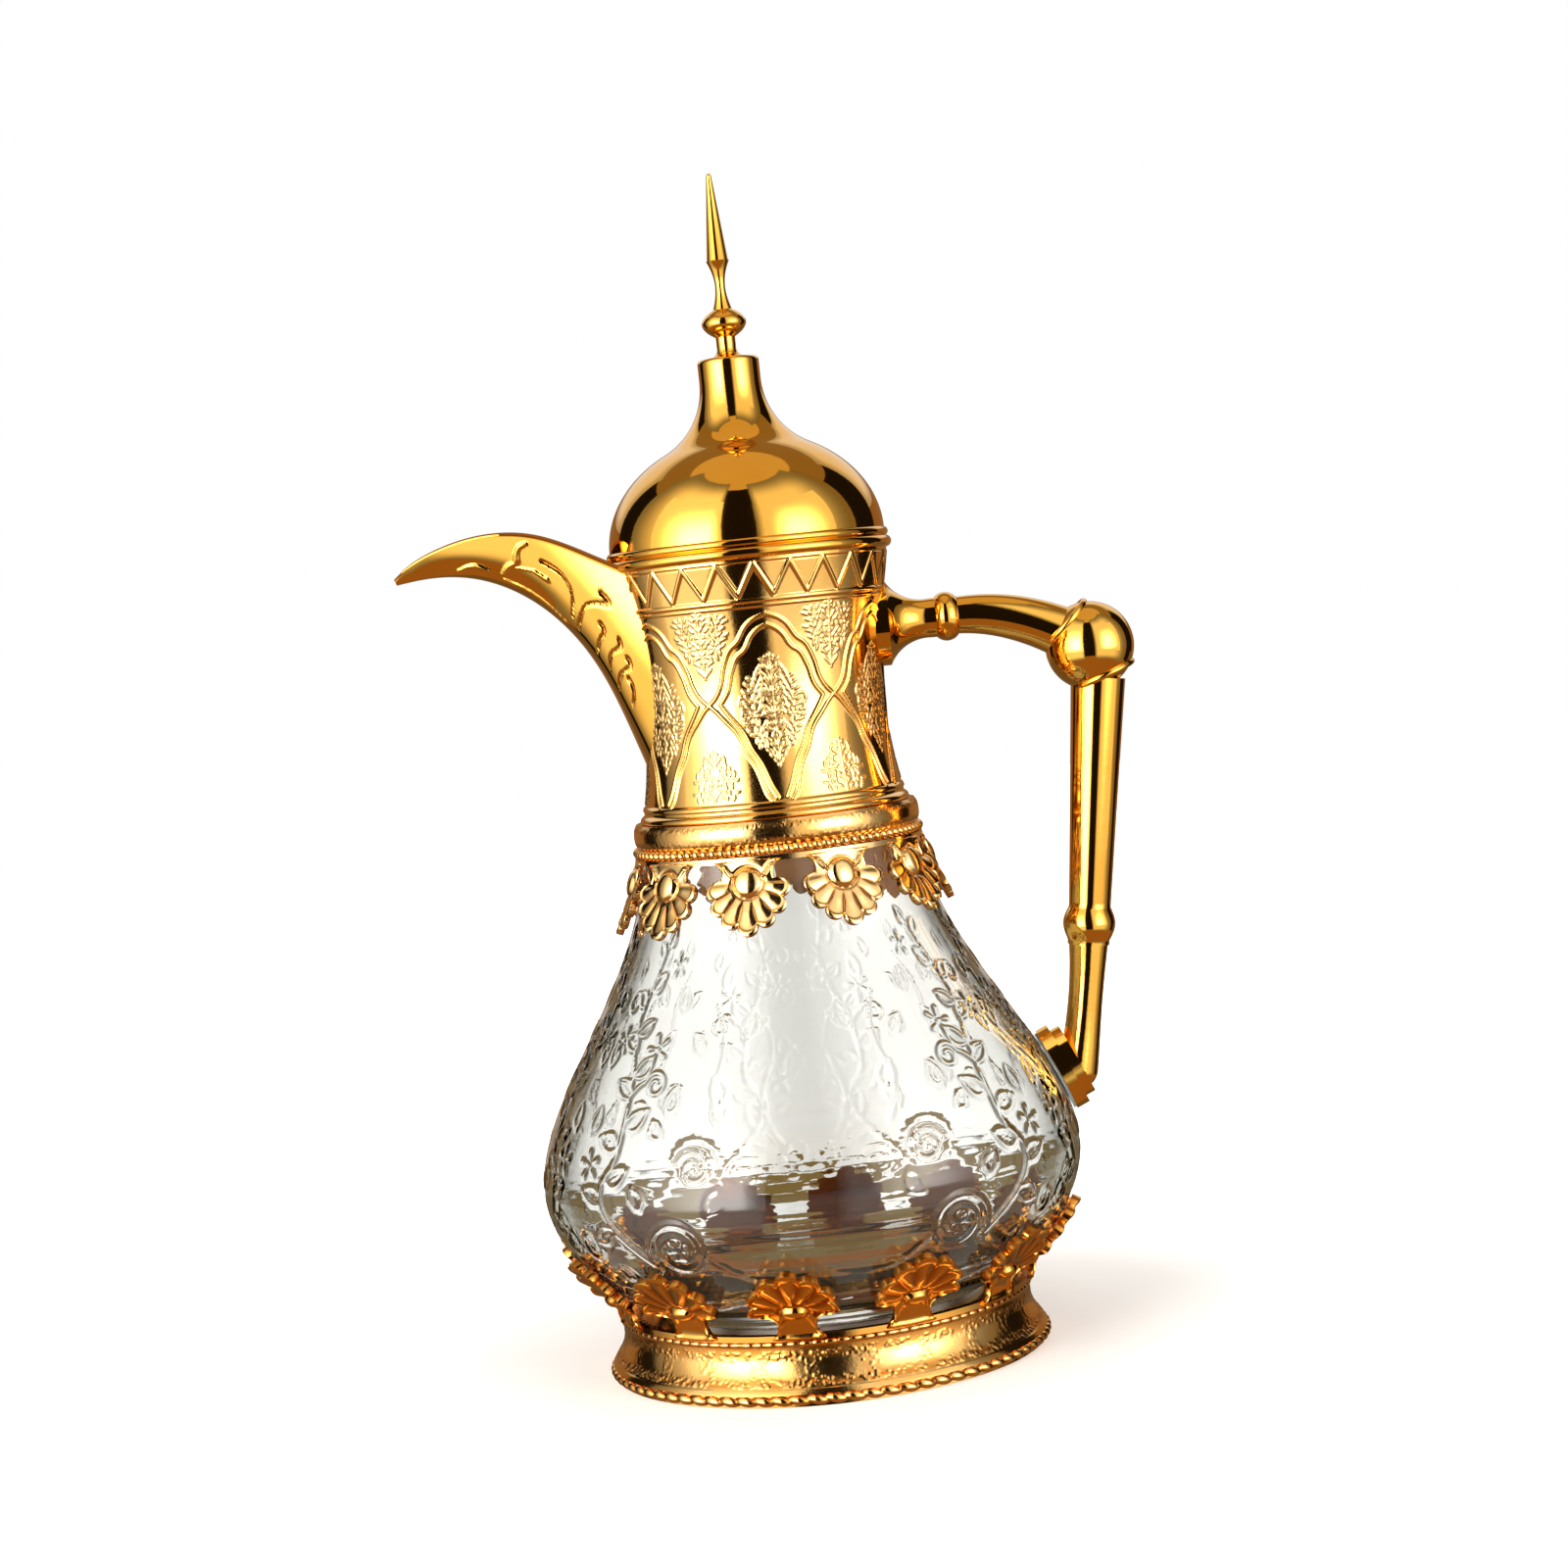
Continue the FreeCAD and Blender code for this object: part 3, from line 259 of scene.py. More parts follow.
# Relief: raised strokes drawn on a flat tile of columns x and rows z
def draw(height, x, z, path, widths, rise, edge=0.5):
    """Raise a stroke; a small edge value makes its flanks steep, a large one makes them soft."""
    for p, q, w0, w1 in zip(path, path[1:], widths, widths[1:]):
        reach = max(w0, w1)
        c0, c1 = np.searchsorted(x, (min(p[0], q[0]) - reach, max(p[0], q[0]) + reach))
        r0, r1 = np.searchsorted(z, (min(p[1], q[1]) - reach, max(p[1], q[1]) + reach))
        if c0 == c1 or r0 == r1:
            continue
        dx, dz = q[0] - p[0], q[1] - p[1]
        gx, gz = x[None, c0:c1] - p[0], z[r0:r1, None] - p[1]
        t = np.clip((gx * dx + gz * dz) / (dx * dx + dz * dz + 1e-12), 0, 1)
        away = (gx - t * dx) ** 2 + (gz - t * dz) ** 2
        width = w0 + (w1 - w0) * t
        lift = rise * np.clip(1 - away / width**2, 0, 1) ** edge
        np.maximum(height[r0:r1, c0:c1], lift, out=height[r0:r1, c0:c1])


def stroke(points, width, rise, taper="even", corner=False):
    path = np.asarray(points, float) if corner else smooth(points, 5 * len(points))
    share = np.linspace(0, 1, len(path))
    shapes = {
        "even": np.ones(len(path)),
        "leaf": 0.25 + 0.75 * np.sin(math.pi * share**0.8),
        "tail": 1 - 0.75 * share,
        "drop": 0.3 + 0.7 * share,
    }
    return path, width * shapes[taper], rise


def mirrored(strokes, centre=0.0):
    flipped = [(p * (-1, 1) + (2 * centre, 0), w, r) for p, w, r in strokes]
    return strokes + flipped


def moved(strokes, dx, dz=0.0):
    return [(p + (dx, dz), w, r) for p, w, r in strokes]


def tile_relief(x, z, strokes, pitch):
    height = np.zeros((len(z), len(x)))
    for shift in (-pitch, 0.0, pitch):
        for path, widths, rise in strokes:
            draw(height, x, z, path + (shift, 0), widths, rise)
    return height


def granules(rows, cols, across, along, count, size, rise, seed):
    """Scattered round grains on a band that is `along` mm round and `across` mm wide."""
    rng = np.random.RandomState(seed)
    height = np.zeros((rows, cols))
    dr, dc = across / (rows - 1), along / cols
    for _ in range(count):
        r, c = rng.uniform(0, across), rng.uniform(0, along)
        radius, lift = size * rng.uniform(0.6, 1.25), rise * rng.uniform(0.5, 1)
        i = np.arange(max(0, int((r - radius) / dr)), min(rows, int((r + radius) / dr) + 2))
        j = np.arange(int((c - radius) / dc), int((c + radius) / dc) + 2)
        away = ((i[:, None] * dr - r) ** 2 + (j[None, :] * dc - c) ** 2) / radius**2
        block = np.ix_(i, j % cols)
        height[block] = np.maximum(height[block], lift * np.sqrt(np.clip(1 - away, 0, 1)))
    return height


# Outlines by height
BOWL_FALL = 1 - math.sqrt(1 - ((BELLY_Z - FOOT_HEIGHT) / BOWL_DEPTH) ** 2)
BOWL_HALF_WIDTH = (BELLY_RADIUS - BASE_RADIUS) / BOWL_FALL
GALLERY_WALL = 0.9
GALLERY_OFFSET = 1.2
FOOT_GALLERY_BLEND = 4.0
SHOULDER_SKIRT = 20.8
SKIRT_POWER = 1.15
SKIRT_TIP_OFFSET = 2.97
SLOPE_STEP = 0.01


def glass_radius(z):
    z = np.asarray(z, float)
    fall = np.sqrt(np.clip(1 - ((BELLY_Z - z) / BOWL_DEPTH) ** 2, 0, 1))
    bowl = BELLY_RADIUS - BOWL_HALF_WIDTH * (1 - fall)
    share = np.clip((z - BELLY_Z) / (LIP_Z - BELLY_Z), 0, 1)
    swell = (1 + np.cos(math.pi * share**SHOULDER_POWER)) / 2
    return np.where(z < BELLY_Z, bowl, GLASS_NECK_RADIUS + (BELLY_RADIUS - GLASS_NECK_RADIUS) * swell)


def slope_at(radius_at, z):
    return (radius_at(z + SLOPE_STEP) - radius_at(z - SLOPE_STEP)) / (2 * SLOPE_STEP)


def foot_gallery_radius(z):
    bowl = glass_radius(z) + GALLERY_OFFSET * np.hypot(1, slope_at(glass_radius, z))
    return (FOOT_BAND_RADIUS + bowl + np.hypot(FOOT_BAND_RADIUS - bowl, FOOT_GALLERY_BLEND)) / 2


SHOULDER_BAND_RADIUS = float(glass_radius(GALLERY_Z)) + GALLERY_OFFSET
SHOULDER_TIP_RADIUS = float(glass_radius(GALLERY_Z - SHOULDER_SKIRT)) + SKIRT_TIP_OFFSET


def shoulder_gallery_radius(z):
    share = np.clip(GALLERY_Z - z, 0, None) / SHOULDER_SKIRT
    return SHOULDER_BAND_RADIUS + (SHOULDER_TIP_RADIUS - SHOULDER_BAND_RADIUS) * share**SKIRT_POWER


def sleeve_radius(z):
    z = np.asarray(z, float)

    def flank(end_radius, end_z):
        flare = end_radius - WAIST_RADIUS
        sweep = ((end_z - WAIST_Z) ** 2 + flare**2) / (2 * flare)
        return WAIST_RADIUS + sweep - np.sqrt(sweep**2 - (z - WAIST_Z) ** 2)

    return np.where(z < WAIST_Z, flank(SLEEVE_FOOT_RADIUS, SLEEVE_Z), flank(MOUTH_RADIUS, RING_Z))


def beside(radius_at, z, distance):
    slope = slope_at(radius_at, z)
    length = np.hypot(1, slope)
    return radius_at(z) + distance / length, z - distance * slope / length


# Materials
def new_material(name):
    material = bpy.data.materials.new(name)
    material.use_nodes = True
    tree = material.node_tree
    return material, tree, tree.nodes["Principled BSDF"]


def noise_node(tree, scale, detail=3.0):
    place = tree.nodes.new("ShaderNodeTexCoord")
    noise = tree.nodes.new("ShaderNodeTexNoise")
    noise.inputs["Scale"].default_value = scale
    noise.inputs["Detail"].default_value = detail
    tree.links.new(place.outputs["Object"], noise.inputs["Vector"])
    return noise


def tone_node(tree, scale, deep, bright):
    """Clouds of two tones."""
    clouds = noise_node(tree, scale)
    ramp = tree.nodes.new("ShaderNodeValToRGB")
    for element, position, colour in zip(ramp.color_ramp.elements, (0.3, 0.7), (deep, bright)):
        element.position = position
        element.color = (*colour, 1)
    tree.links.new(clouds.outputs["Fac"], ramp.inputs["Fac"])
    return ramp.outputs["Color"]


def polish_node(tree, scale, low, high):
    """An uneven polish, from smooth to rough."""
    smear = noise_node(tree, scale)
    span = tree.nodes.new("ShaderNodeMapRange")
    span.inputs["To Min"].default_value = low
    span.inputs["To Max"].default_value = high
    tree.links.new(smear.outputs["Fac"], span.inputs["Value"])
    return span.outputs["Result"]


def grain_node(tree, scale, strength, depth, detail=3.0):
    """A fine grain of the surface, with its depth in mm."""
    fine = noise_node(tree, scale, detail)
    bump = tree.nodes.new("ShaderNodeBump")
    bump.inputs["Strength"].default_value = strength
    bump.inputs["Distance"].default_value = depth * MM
    tree.links.new(fine.outputs["Fac"], bump.inputs["Height"])
    return bump.outputs["Normal"]


def value_node(tree, name):
    """A value that the points of a mesh carry."""
    mark = tree.nodes.new("ShaderNodeAttribute")
    mark.attribute_name = name
    return mark.outputs["Fac"]


def gilt(name, deep, bright, tooling_and_shade_colour, roughness, worked_roughness, grain, grain_depth):
    material, tree, shader = new_material(name)
    shader.inputs["Metallic"].default_value = 1.0
    # The value the points carry mixes in a second colour and a rougher polish: matt tooling on the sleeve
    # sprays, painted shade in grooves, gaps, hollows and back faces on the other pieces
    tooling_and_shade = value_node(tree, "tooling_and_shade")
    mix = tree.nodes.new("ShaderNodeMixRGB")
    mix.inputs["Color2"].default_value = (*tooling_and_shade_colour, 1)
    tree.links.new(tooling_and_shade, mix.inputs["Fac"])
    tree.links.new(tone_node(tree, 38.0, deep, bright), mix.inputs["Color1"])
    tree.links.new(mix.outputs["Color"], shader.inputs["Base Color"])
    dull = tree.nodes.new("ShaderNodeMath")
    dull.operation = "MULTIPLY_ADD"
    dull.inputs[1].default_value = worked_roughness - roughness
    tree.links.new(tooling_and_shade, dull.inputs[0])
    tree.links.new(polish_node(tree, 160.0, roughness * 0.7, roughness * 1.3), dull.inputs[2])
    tree.links.new(dull.outputs["Value"], shader.inputs["Roughness"])
    tree.links.new(grain_node(tree, grain, 0.35, grain_depth, 2.0), shader.inputs["Normal"])
    return material


GOLD_DEEP = (0.88, 0.43, 0.06)
GOLD_BRIGHT = (0.94, 0.51, 0.09)
CAST_DEEP = (0.86, 0.38, 0.06)
CAST_BRIGHT = (0.95, 0.48, 0.1)
polished = gilt("gilt_polished", GOLD_DEEP, GOLD_BRIGHT, (0.42, 0.14, 0.02), 0.06, 0.2, 420.0, 0.02)
engraved = gilt(
    "gilt_engraved", (0.88, 0.46, 0.1), (0.94, 0.55, 0.17), (0.82, 0.53, 0.21), 0.1, 0.32, 900.0, 0.03
)
cast = gilt("gilt_cast", CAST_DEEP, CAST_BRIGHT, (0.5, 0.15, 0.02), 0.11, 0.24, 700.0, 0.04)
stippled = gilt(
    "gilt_stippled", (0.86, 0.44, 0.1), (0.93, 0.56, 0.2), (0.6, 0.22, 0.03), 0.13, 0.26, 1500.0, 0.05
)
# Painted light: a lighter copy of the cast gilt, for the shoulder gallery
cast_painted_light = gilt(
    "gilt_cast_painted_light", (0.92, 0.54, 0.17), (0.97, 0.66, 0.3), (0.5, 0.17, 0.03), 0.11, 0.24, 700.0, 0.04
)


def surface(name, tones, polish, grain, constants):
    """Clouds of two tones, an uneven polish and a fine grain, with constants set on the shader itself."""
    material, tree, shader = new_material(name)
    for socket, value in constants.items():
        shader.inputs[socket].default_value = value
    tree.links.new(tone_node(tree, *tones), shader.inputs["Base Color"])
    tree.links.new(polish_node(tree, *polish), shader.inputs["Roughness"])
    tree.links.new(grain_node(tree, *grain), shader.inputs["Normal"])
    return material


glass = surface(
    "glass_clear",
    (12.0, (0.98, 0.99, 0.98), (0.99, 0.995, 0.985)),
    (60.0, 0.0, 0.035),
    (240.0, 0.25, 0.06),
    {"Transmission Weight": 1.0, "IOR": 1.5},
)
silicone = surface(
    "silicone_soft",
    (90.0, (0.7, 0.7, 0.66), (0.8, 0.8, 0.77)),
    (1200.0, 0.45, 0.65),
    (1200.0, 0.3, 0.05),
    {"Transmission Weight": 0.35},
)
steel = surface(
    "steel_turned",
    (700.0, (0.5, 0.5, 0.51), (0.66, 0.66, 0.67)),
    (700.0, 0.22, 0.4),
    (700.0, 0.3, 0.03),
    {"Metallic": 1.0},
)


def dress(material, *nodes):
    """Give a material to pieces that keep their construction shape."""
    for node in nodes:
        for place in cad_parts[node].material_slots:
            place.material = material


dress(silicone, "glass_seat", "neck_seal", "screw_seal", "handle_pad")
dress(steel, "finial_nut", "bracket_screw")


# Glass: pressed relief of rosettes, vines and leaves between a sunk ground and the full outline
def spiral(cx, cz, radius, end, turns, start, width, rise, hand=1):
    share = np.linspace(0, 1, int(18 * turns) + 2)
    angle = start + hand * math.tau * turns * share
    reach = radius + (end - radius) * share
    path = np.stack([cx + reach * np.cos(angle), cz + reach * np.sin(angle)], -1)
    return path, width * (1 - 0.45 * share), rise


def leaf(cx, cz, length, angle, width, rise, bend=0.25):
    way = np.array([math.cos(angle), math.sin(angle)])
    side = np.array([-way[1], way[0]])
    base = np.array([cx, cz])
    tip = base + way * length
    edge = [base, base + way * length * 0.4 + side * length * (0.24 + bend * 0.3), tip]
    other = [base, base + way * length * 0.45 - side * length * (0.24 - bend * 0.3), tip]
    vein = [base, base + way * length * 0.45 + side * length * bend * 0.3, base + way * length * 0.82]
    sides = [stroke(line, width, rise, "leaf") for line in (edge, other)]
    return sides + [stroke(vein, width * 0.6, rise * 0.7, "tail")]


def blossom(cx, cz, radius, petals, width, rise, turn=0.0):
    strokes = []
    for k in range(petals):
        angle = turn + math.tau * k / petals
        way = np.array([math.cos(angle), math.sin(angle)])
        near, far = np.array([cx, cz]) + way * radius * 0.35, np.array([cx, cz]) + way * radius
        strokes.append(stroke([near, (near + far) / 2, far], width, rise, "drop"))
    strokes.append((np.array([[cx - 0.01, cz], [cx + 0.01, cz]]), np.full(2, width * 0.9), rise))
    return strokes


GLASS_TILES = 6
GLASS_PITCH = 70.0
GLASS_RELIEF = 0.36
GLASS_COLUMNS = 116
GLASS_RIPPLE = 0.012
# The ornament is faint up to the first angle from the front or back and full from the second
GLASS_PLAIN = (12.0, 36.0)
GLASS_FAINTEST = 0.12
GLASS_VINE = (
    (7, 35), (16, 43), (21, 49), (22.5, 56), (18.5, 63),
    (17.5, 74), (19, 86), (24, 99), (22.5, 112), (19, 122),
)
# Leaves: place across the tile and up the glass, length, and angle in radians
GLASS_LEAVES = (
    (18, 45, 9, -0.4), (22, 52, 8.5, 0.4), (21.5, 58, 9, 2.7), (18, 66, 9, 0.4), (17.6, 72, 9.5, 2.5),
    (18, 80, 9, 0.6), (19, 86, 9, 2.4), (21, 93, 9, 0.5), (23.5, 98, 8, 2.6), (23.8, 105, 7.5, 0.6),
    (23, 110, 8, 2.5), (20.5, 118, 6.5, 0.9), (19, 122, 6, 2.2), (-16, 32, 8, 2.2), (-26, 30, 8, -2.2),
    (18, 28, 8, 1.0), (28, 27, 8, -0.8), (-9, 50, 8, 2.0), (9, 51, 7, 1.1),
)
GLASS_FAINT_LEAVES = (
    (-24, 70, 10, 1.1), (-30, 84, 10, 1.9), (-12, 78, 9, 1.3), (-18, 96, 9, 2.0),
    (-6, 92, 8, 0.9), (-26, 108, 8, 1.2), (-10, 110, 7, 1.9), (-31, 58, 8, 1.3),
    (31, 70, 8, 1.8), (32, 88, 8, 1.4), (4, 76, 8, 1.8), (5, 104, 7, 1.4),
)


def glass_strokes():
    rise, faint = GLASS_RELIEF, GLASS_RELIEF * 0.55
    strokes = [
        spiral(0, 40.4, 8.4, 2.2, 1.8, -0.3, 1.5, rise),
        spiral(-18.4, 59.7, 4.4, 1.2, 1.5, 2.6, 1.1, faint, -1),
        spiral(-6.0, 62.0, 4.8, 1.2, 1.5, 0.4, 1.1, faint),
        spiral(30.0, 40.0, 4.4, 1.0, 1.4, 3.4, 1.1, rise),
        spiral(9.5, 84.0, 4.0, 1.0, 1.4, 0.2, 1.1, rise),
        spiral(30.5, 106.0, 3.4, 0.9, 1.3, 3.0, 1.0, rise, -1),
        stroke(GLASS_VINE, 1.3, rise, "tail"),
        stroke([(-8, 38), (-16, 32), (-26, 30), (-35, 33)], 1.2, rise),
        stroke([(8, 34), (18, 28), (28, 27), (35, 31)], 1.2, rise),
        stroke([(-35, 18), (-17, 22.5), (0, 18), (17, 22.5), (35, 18)], 1.2, rise * 0.8),
        stroke([(18.5, 80), (15, 84), (13.5, 85)], 1.0, rise),
        stroke([(-35, 60), (-28, 68), (-24, 80), (-27, 94), (-20, 106)], 1.2, faint, "tail"),
        stroke([(-14, 70), (-10, 80), (-12, 94), (-8, 106)], 1.1, faint, "tail"),
    ]
    strokes += blossom(0, 40.4, 2.6, 6, 1.0, rise)
    for cx, cz, length, angle in GLASS_LEAVES:
        strokes += leaf(cx, cz, length, angle, 1.05, rise * 0.9)
    for cx, cz, length, angle in GLASS_FAINT_LEAVES:
        strokes += leaf(cx, cz, length, angle, 1.0, faint)
    strokes += blossom(12.0, 94.0, 3.8, 5, 1.2, rise)
    strokes += blossom(29.5, 96.0, 3.4, 5, 1.1, rise, 0.4)
    strokes += blossom(11.0, 117.0, 3.0, 5, 1.0, rise, 0.2)
    strokes += blossom(28.0, 62.0, 3.4, 5, 1.1, rise, 0.2)
    return strokes


def glass_body():
    columns = GLASS_TILES * GLASS_COLUMNS
    low_z = np.linspace(FOOT_HEIGHT, BELLY_Z, 34)
    high_z = np.linspace(BELLY_Z, LIP_Z - LIP_CHAMFER, 150)
    level = np.concatenate([low_z, high_z[1:]])
    outside = refine(np.stack([glass_radius(level), level], -1), 0.7)
    low_in = np.linspace(GLASS_FLOOR_Z + 2, BELLY_Z, 24)
    high_in = np.linspace(BELLY_Z, LIP_Z - LIP_CHAMFER, 50)
    inside = np.stack(beside(glass_radius, np.concatenate([low_in, high_in[1:]]), -GLASS_WALL), -1)[::-1]
    last = inside[-1][0]
    corner = bow(inside[-1], (last - 3.2, GLASS_FLOOR_Z + 0.55), (last - 9, GLASS_FLOOR_Z), 8)
    lip = [(outside[-1][0] - LIP_CHAMFER, LIP_Z), (inside[0][0] + LIP_CHAMFER, LIP_Z)]
    profile = run([(0, FOOT_HEIGHT)], outside, lip, inside, corner, [(0, GLASS_FLOOR_Z)])
    along = np.concatenate([[0], np.cumsum(np.linalg.norm(np.diff(outside, axis=0), axis=1))])
    x = ((np.arange(GLASS_COLUMNS) + 0.5) / GLASS_COLUMNS - 0.5) * GLASS_PITCH
    tile = np.zeros((len(along), GLASS_COLUMNS))
    for path, widths, rise in glass_strokes():
        draw(tile, x, along, path, widths, rise, 1.4)
    pattern = np.hstack([tile, tile[:, ::-1]] * (GLASS_TILES // 2))
    facing = np.degrees(np.arcsin(np.abs(np.sin((np.arange(columns) + 0.5) * math.tau / columns))))
    pattern *= GLASS_FAINTEST + (1 - GLASS_FAINTEST) * ease(*GLASS_PLAIN, facing)
    fade = ease(2.0, 6.0, along) * ease(0, 6.0, along[-1] - 8.0 - along)
    ripple = GLASS_RIPPLE * np.sin(along * 2.5) * ease(0, 30, 80 - along)
    relief = np.zeros((len(profile), columns))
    relief[1 : 1 + len(outside)] = (pattern - GLASS_RELIEF + ripple[:, None]) * fade[:, None]
    return solid_turned(profile, columns, np.minimum(relief, 0.0))


add_piece("glass_body", glass_body(), glass, "glass_carafe", crease=45.0)


# Foot: rope edge, grained cove and a fillet of short dashes
FINE_STEPS = 1152
ROPE_EDGE = 59.0
ROPE_TOP = 3.2
FOOT_WAIST = 55.6
FOOT_BORE = 55.8
COVE_TOP = 14.7
SHELF_RADIUS = 51.0
LEDGE_RADIUS = 39.0
LEDGE_LOW, LEDGE_HIGH = 12.5, 15.0
FOOT_GRAIN = 0.2


def foot_ring():
    cove = refine(bow((ROPE_EDGE, 4.3), (56.35, 8.67), (FOOT_WAIST, COVE_TOP), 30), 0.3)
    fillet = bow((FOOT_WAIST, COVE_TOP), (56.45, 15.6), (FOOT_WAIST, FOOT_HEIGHT), 9)
    ledge = [(LEDGE_RADIUS, LEDGE_HIGH), (LEDGE_RADIUS, LEDGE_LOW), (SHELF_RADIUS, LEDGE_LOW)]
    under = [(SHELF_RADIUS, FOOT_HEIGHT), (SHELF_RADIUS, LEDGE_HIGH)] + ledge
    base = [(FOOT_BORE, 0), (ROPE_EDGE, 0), (ROPE_EDGE, ROPE_TOP), (59.55, ROPE_TOP)]
    profile = run(base, cove, fillet, under)
    first = len(base)
    rows = len(cove)
    grains = granules(rows, FINE_STEPS, 11.2, 360.0, 2600, 0.62, FOOT_GRAIN, 5)
    turn = full_turn(FINE_STEPS)
    share = np.linspace(0, 1, rows)[:, None]
    sprig = 0.5 + 0.5 * np.cos(24 * turn[None, :] + 2.2 * np.sin(math.pi * share))
    middle = ease(0.16, 0.36, share) * ease(0.0, 0.2, 0.82 - share)
    borders = ease(0.04, 0.12, share) * ease(0.0, 0.1, 0.95 - share)
    mask = borders * (1 - middle * (1 - 0.5 * ease(0.6, 0.95, sprig)))
    relief = np.zeros((len(profile), FINE_STEPS))
    relief[first : first + rows] = grains * mask
    dashes = np.abs(np.cos(55 * turn))[None, :] ** 0.5
    relief[first + rows + 1 : first + rows + 8] = (dashes - 1) * 0.35
    # Painted shade: darker gold between the grains, over the upper part of the cove under the fillet, and
    # between the dashes
    tooling_and_shade = np.zeros_like(relief)
    painted_cove_shade = 0.8 * ease(0.62, 0.95, share)
    tooling_and_shade[first : first + rows] = np.maximum(0.8 * mask * (1 - grains / FOOT_GRAIN), painted_cove_shade)
    tooling_and_shade[first + rows : first + rows + 9] = 0.8 * (1 - dashes)
    return turned(profile, FINE_STEPS, relief, tooling_and_shade)


def rope(edge, low, high, bulge, strands, slant, depth):
    """A half round of slanted strands; it stays within the plain half round."""
    rows = 17
    arc = bow((edge, low), (edge + bulge, (low + high) / 2), (edge, high), rows)
    inner = edge - 0.6
    profile = run([(inner, low)], arc, [(inner, high)])
    turn = full_turn(FINE_STEPS)
    lean = np.linspace(-0.5, 0.5, rows)[:, None] * slant
    strand = np.abs(np.cos((strands * turn[None, :] + lean) / 2))
    relief = np.zeros((len(profile), FINE_STEPS))
    relief[1 : rows + 1] = (strand**0.7 - 1) * depth
    # Painted shade: darker gold in the gaps between the strands
    tooling_and_shade = np.zeros_like(relief)
    tooling_and_shade[1 : rows + 1] = (1 - strand) ** 2
    return turned(profile, FINE_STEPS, relief, tooling_and_shade)


add_piece("foot_ring_grained", foot_ring(), stippled, "foot_ring")
add_piece("foot_rope_twisted", rope(ROPE_EDGE, 0.3, ROPE_TOP, 1.4, 78, 2.4, 0.75), stippled, "foot_rope")


# Galleries: fans of fluted lobes round a boss, laid on a flared skirt
def fan_outline(lobes, step, root, drop):
    def polar(length, angle):
        return length * math.sin(math.radians(angle)), length * math.cos(math.radians(angle))

    last = len(lobes) - 1
    turns = range(-last, last + 1)
    lengths = [lobes[abs(i)] for i in turns]
    valleys = [polar(0.85 * (a + b) / 2, step * (i + 0.5)) for a, b, i in zip(lengths, lengths[1:], turns)]
    end_angle, end_length = step * (last + 0.72), lobes[-1] * 0.66
    valleys = [polar(end_length, -end_angle)] + valleys + [polar(end_length, end_angle)]
    half, waist = root
    tips = [polar(length, step * i) for length, i in zip(lengths, turns)]
    parts = [bow(start, tip, end, 15) for start, tip, end in zip(valleys, tips, valleys[1:])]
    parts.append(bow(valleys[-1], (waist, -drop * 0.5), (half, -drop), 13))
    parts.append(np.linspace((half, -drop), (-half, -drop), 17))
    parts.append(bow((-half, -drop), (-waist, -drop * 0.5), valleys[0], 13))
    return run(*parts)[:-1]


BOSS_RINGS = 8
FAN_RINGS = 24
SEARCH_REACH = 12.0


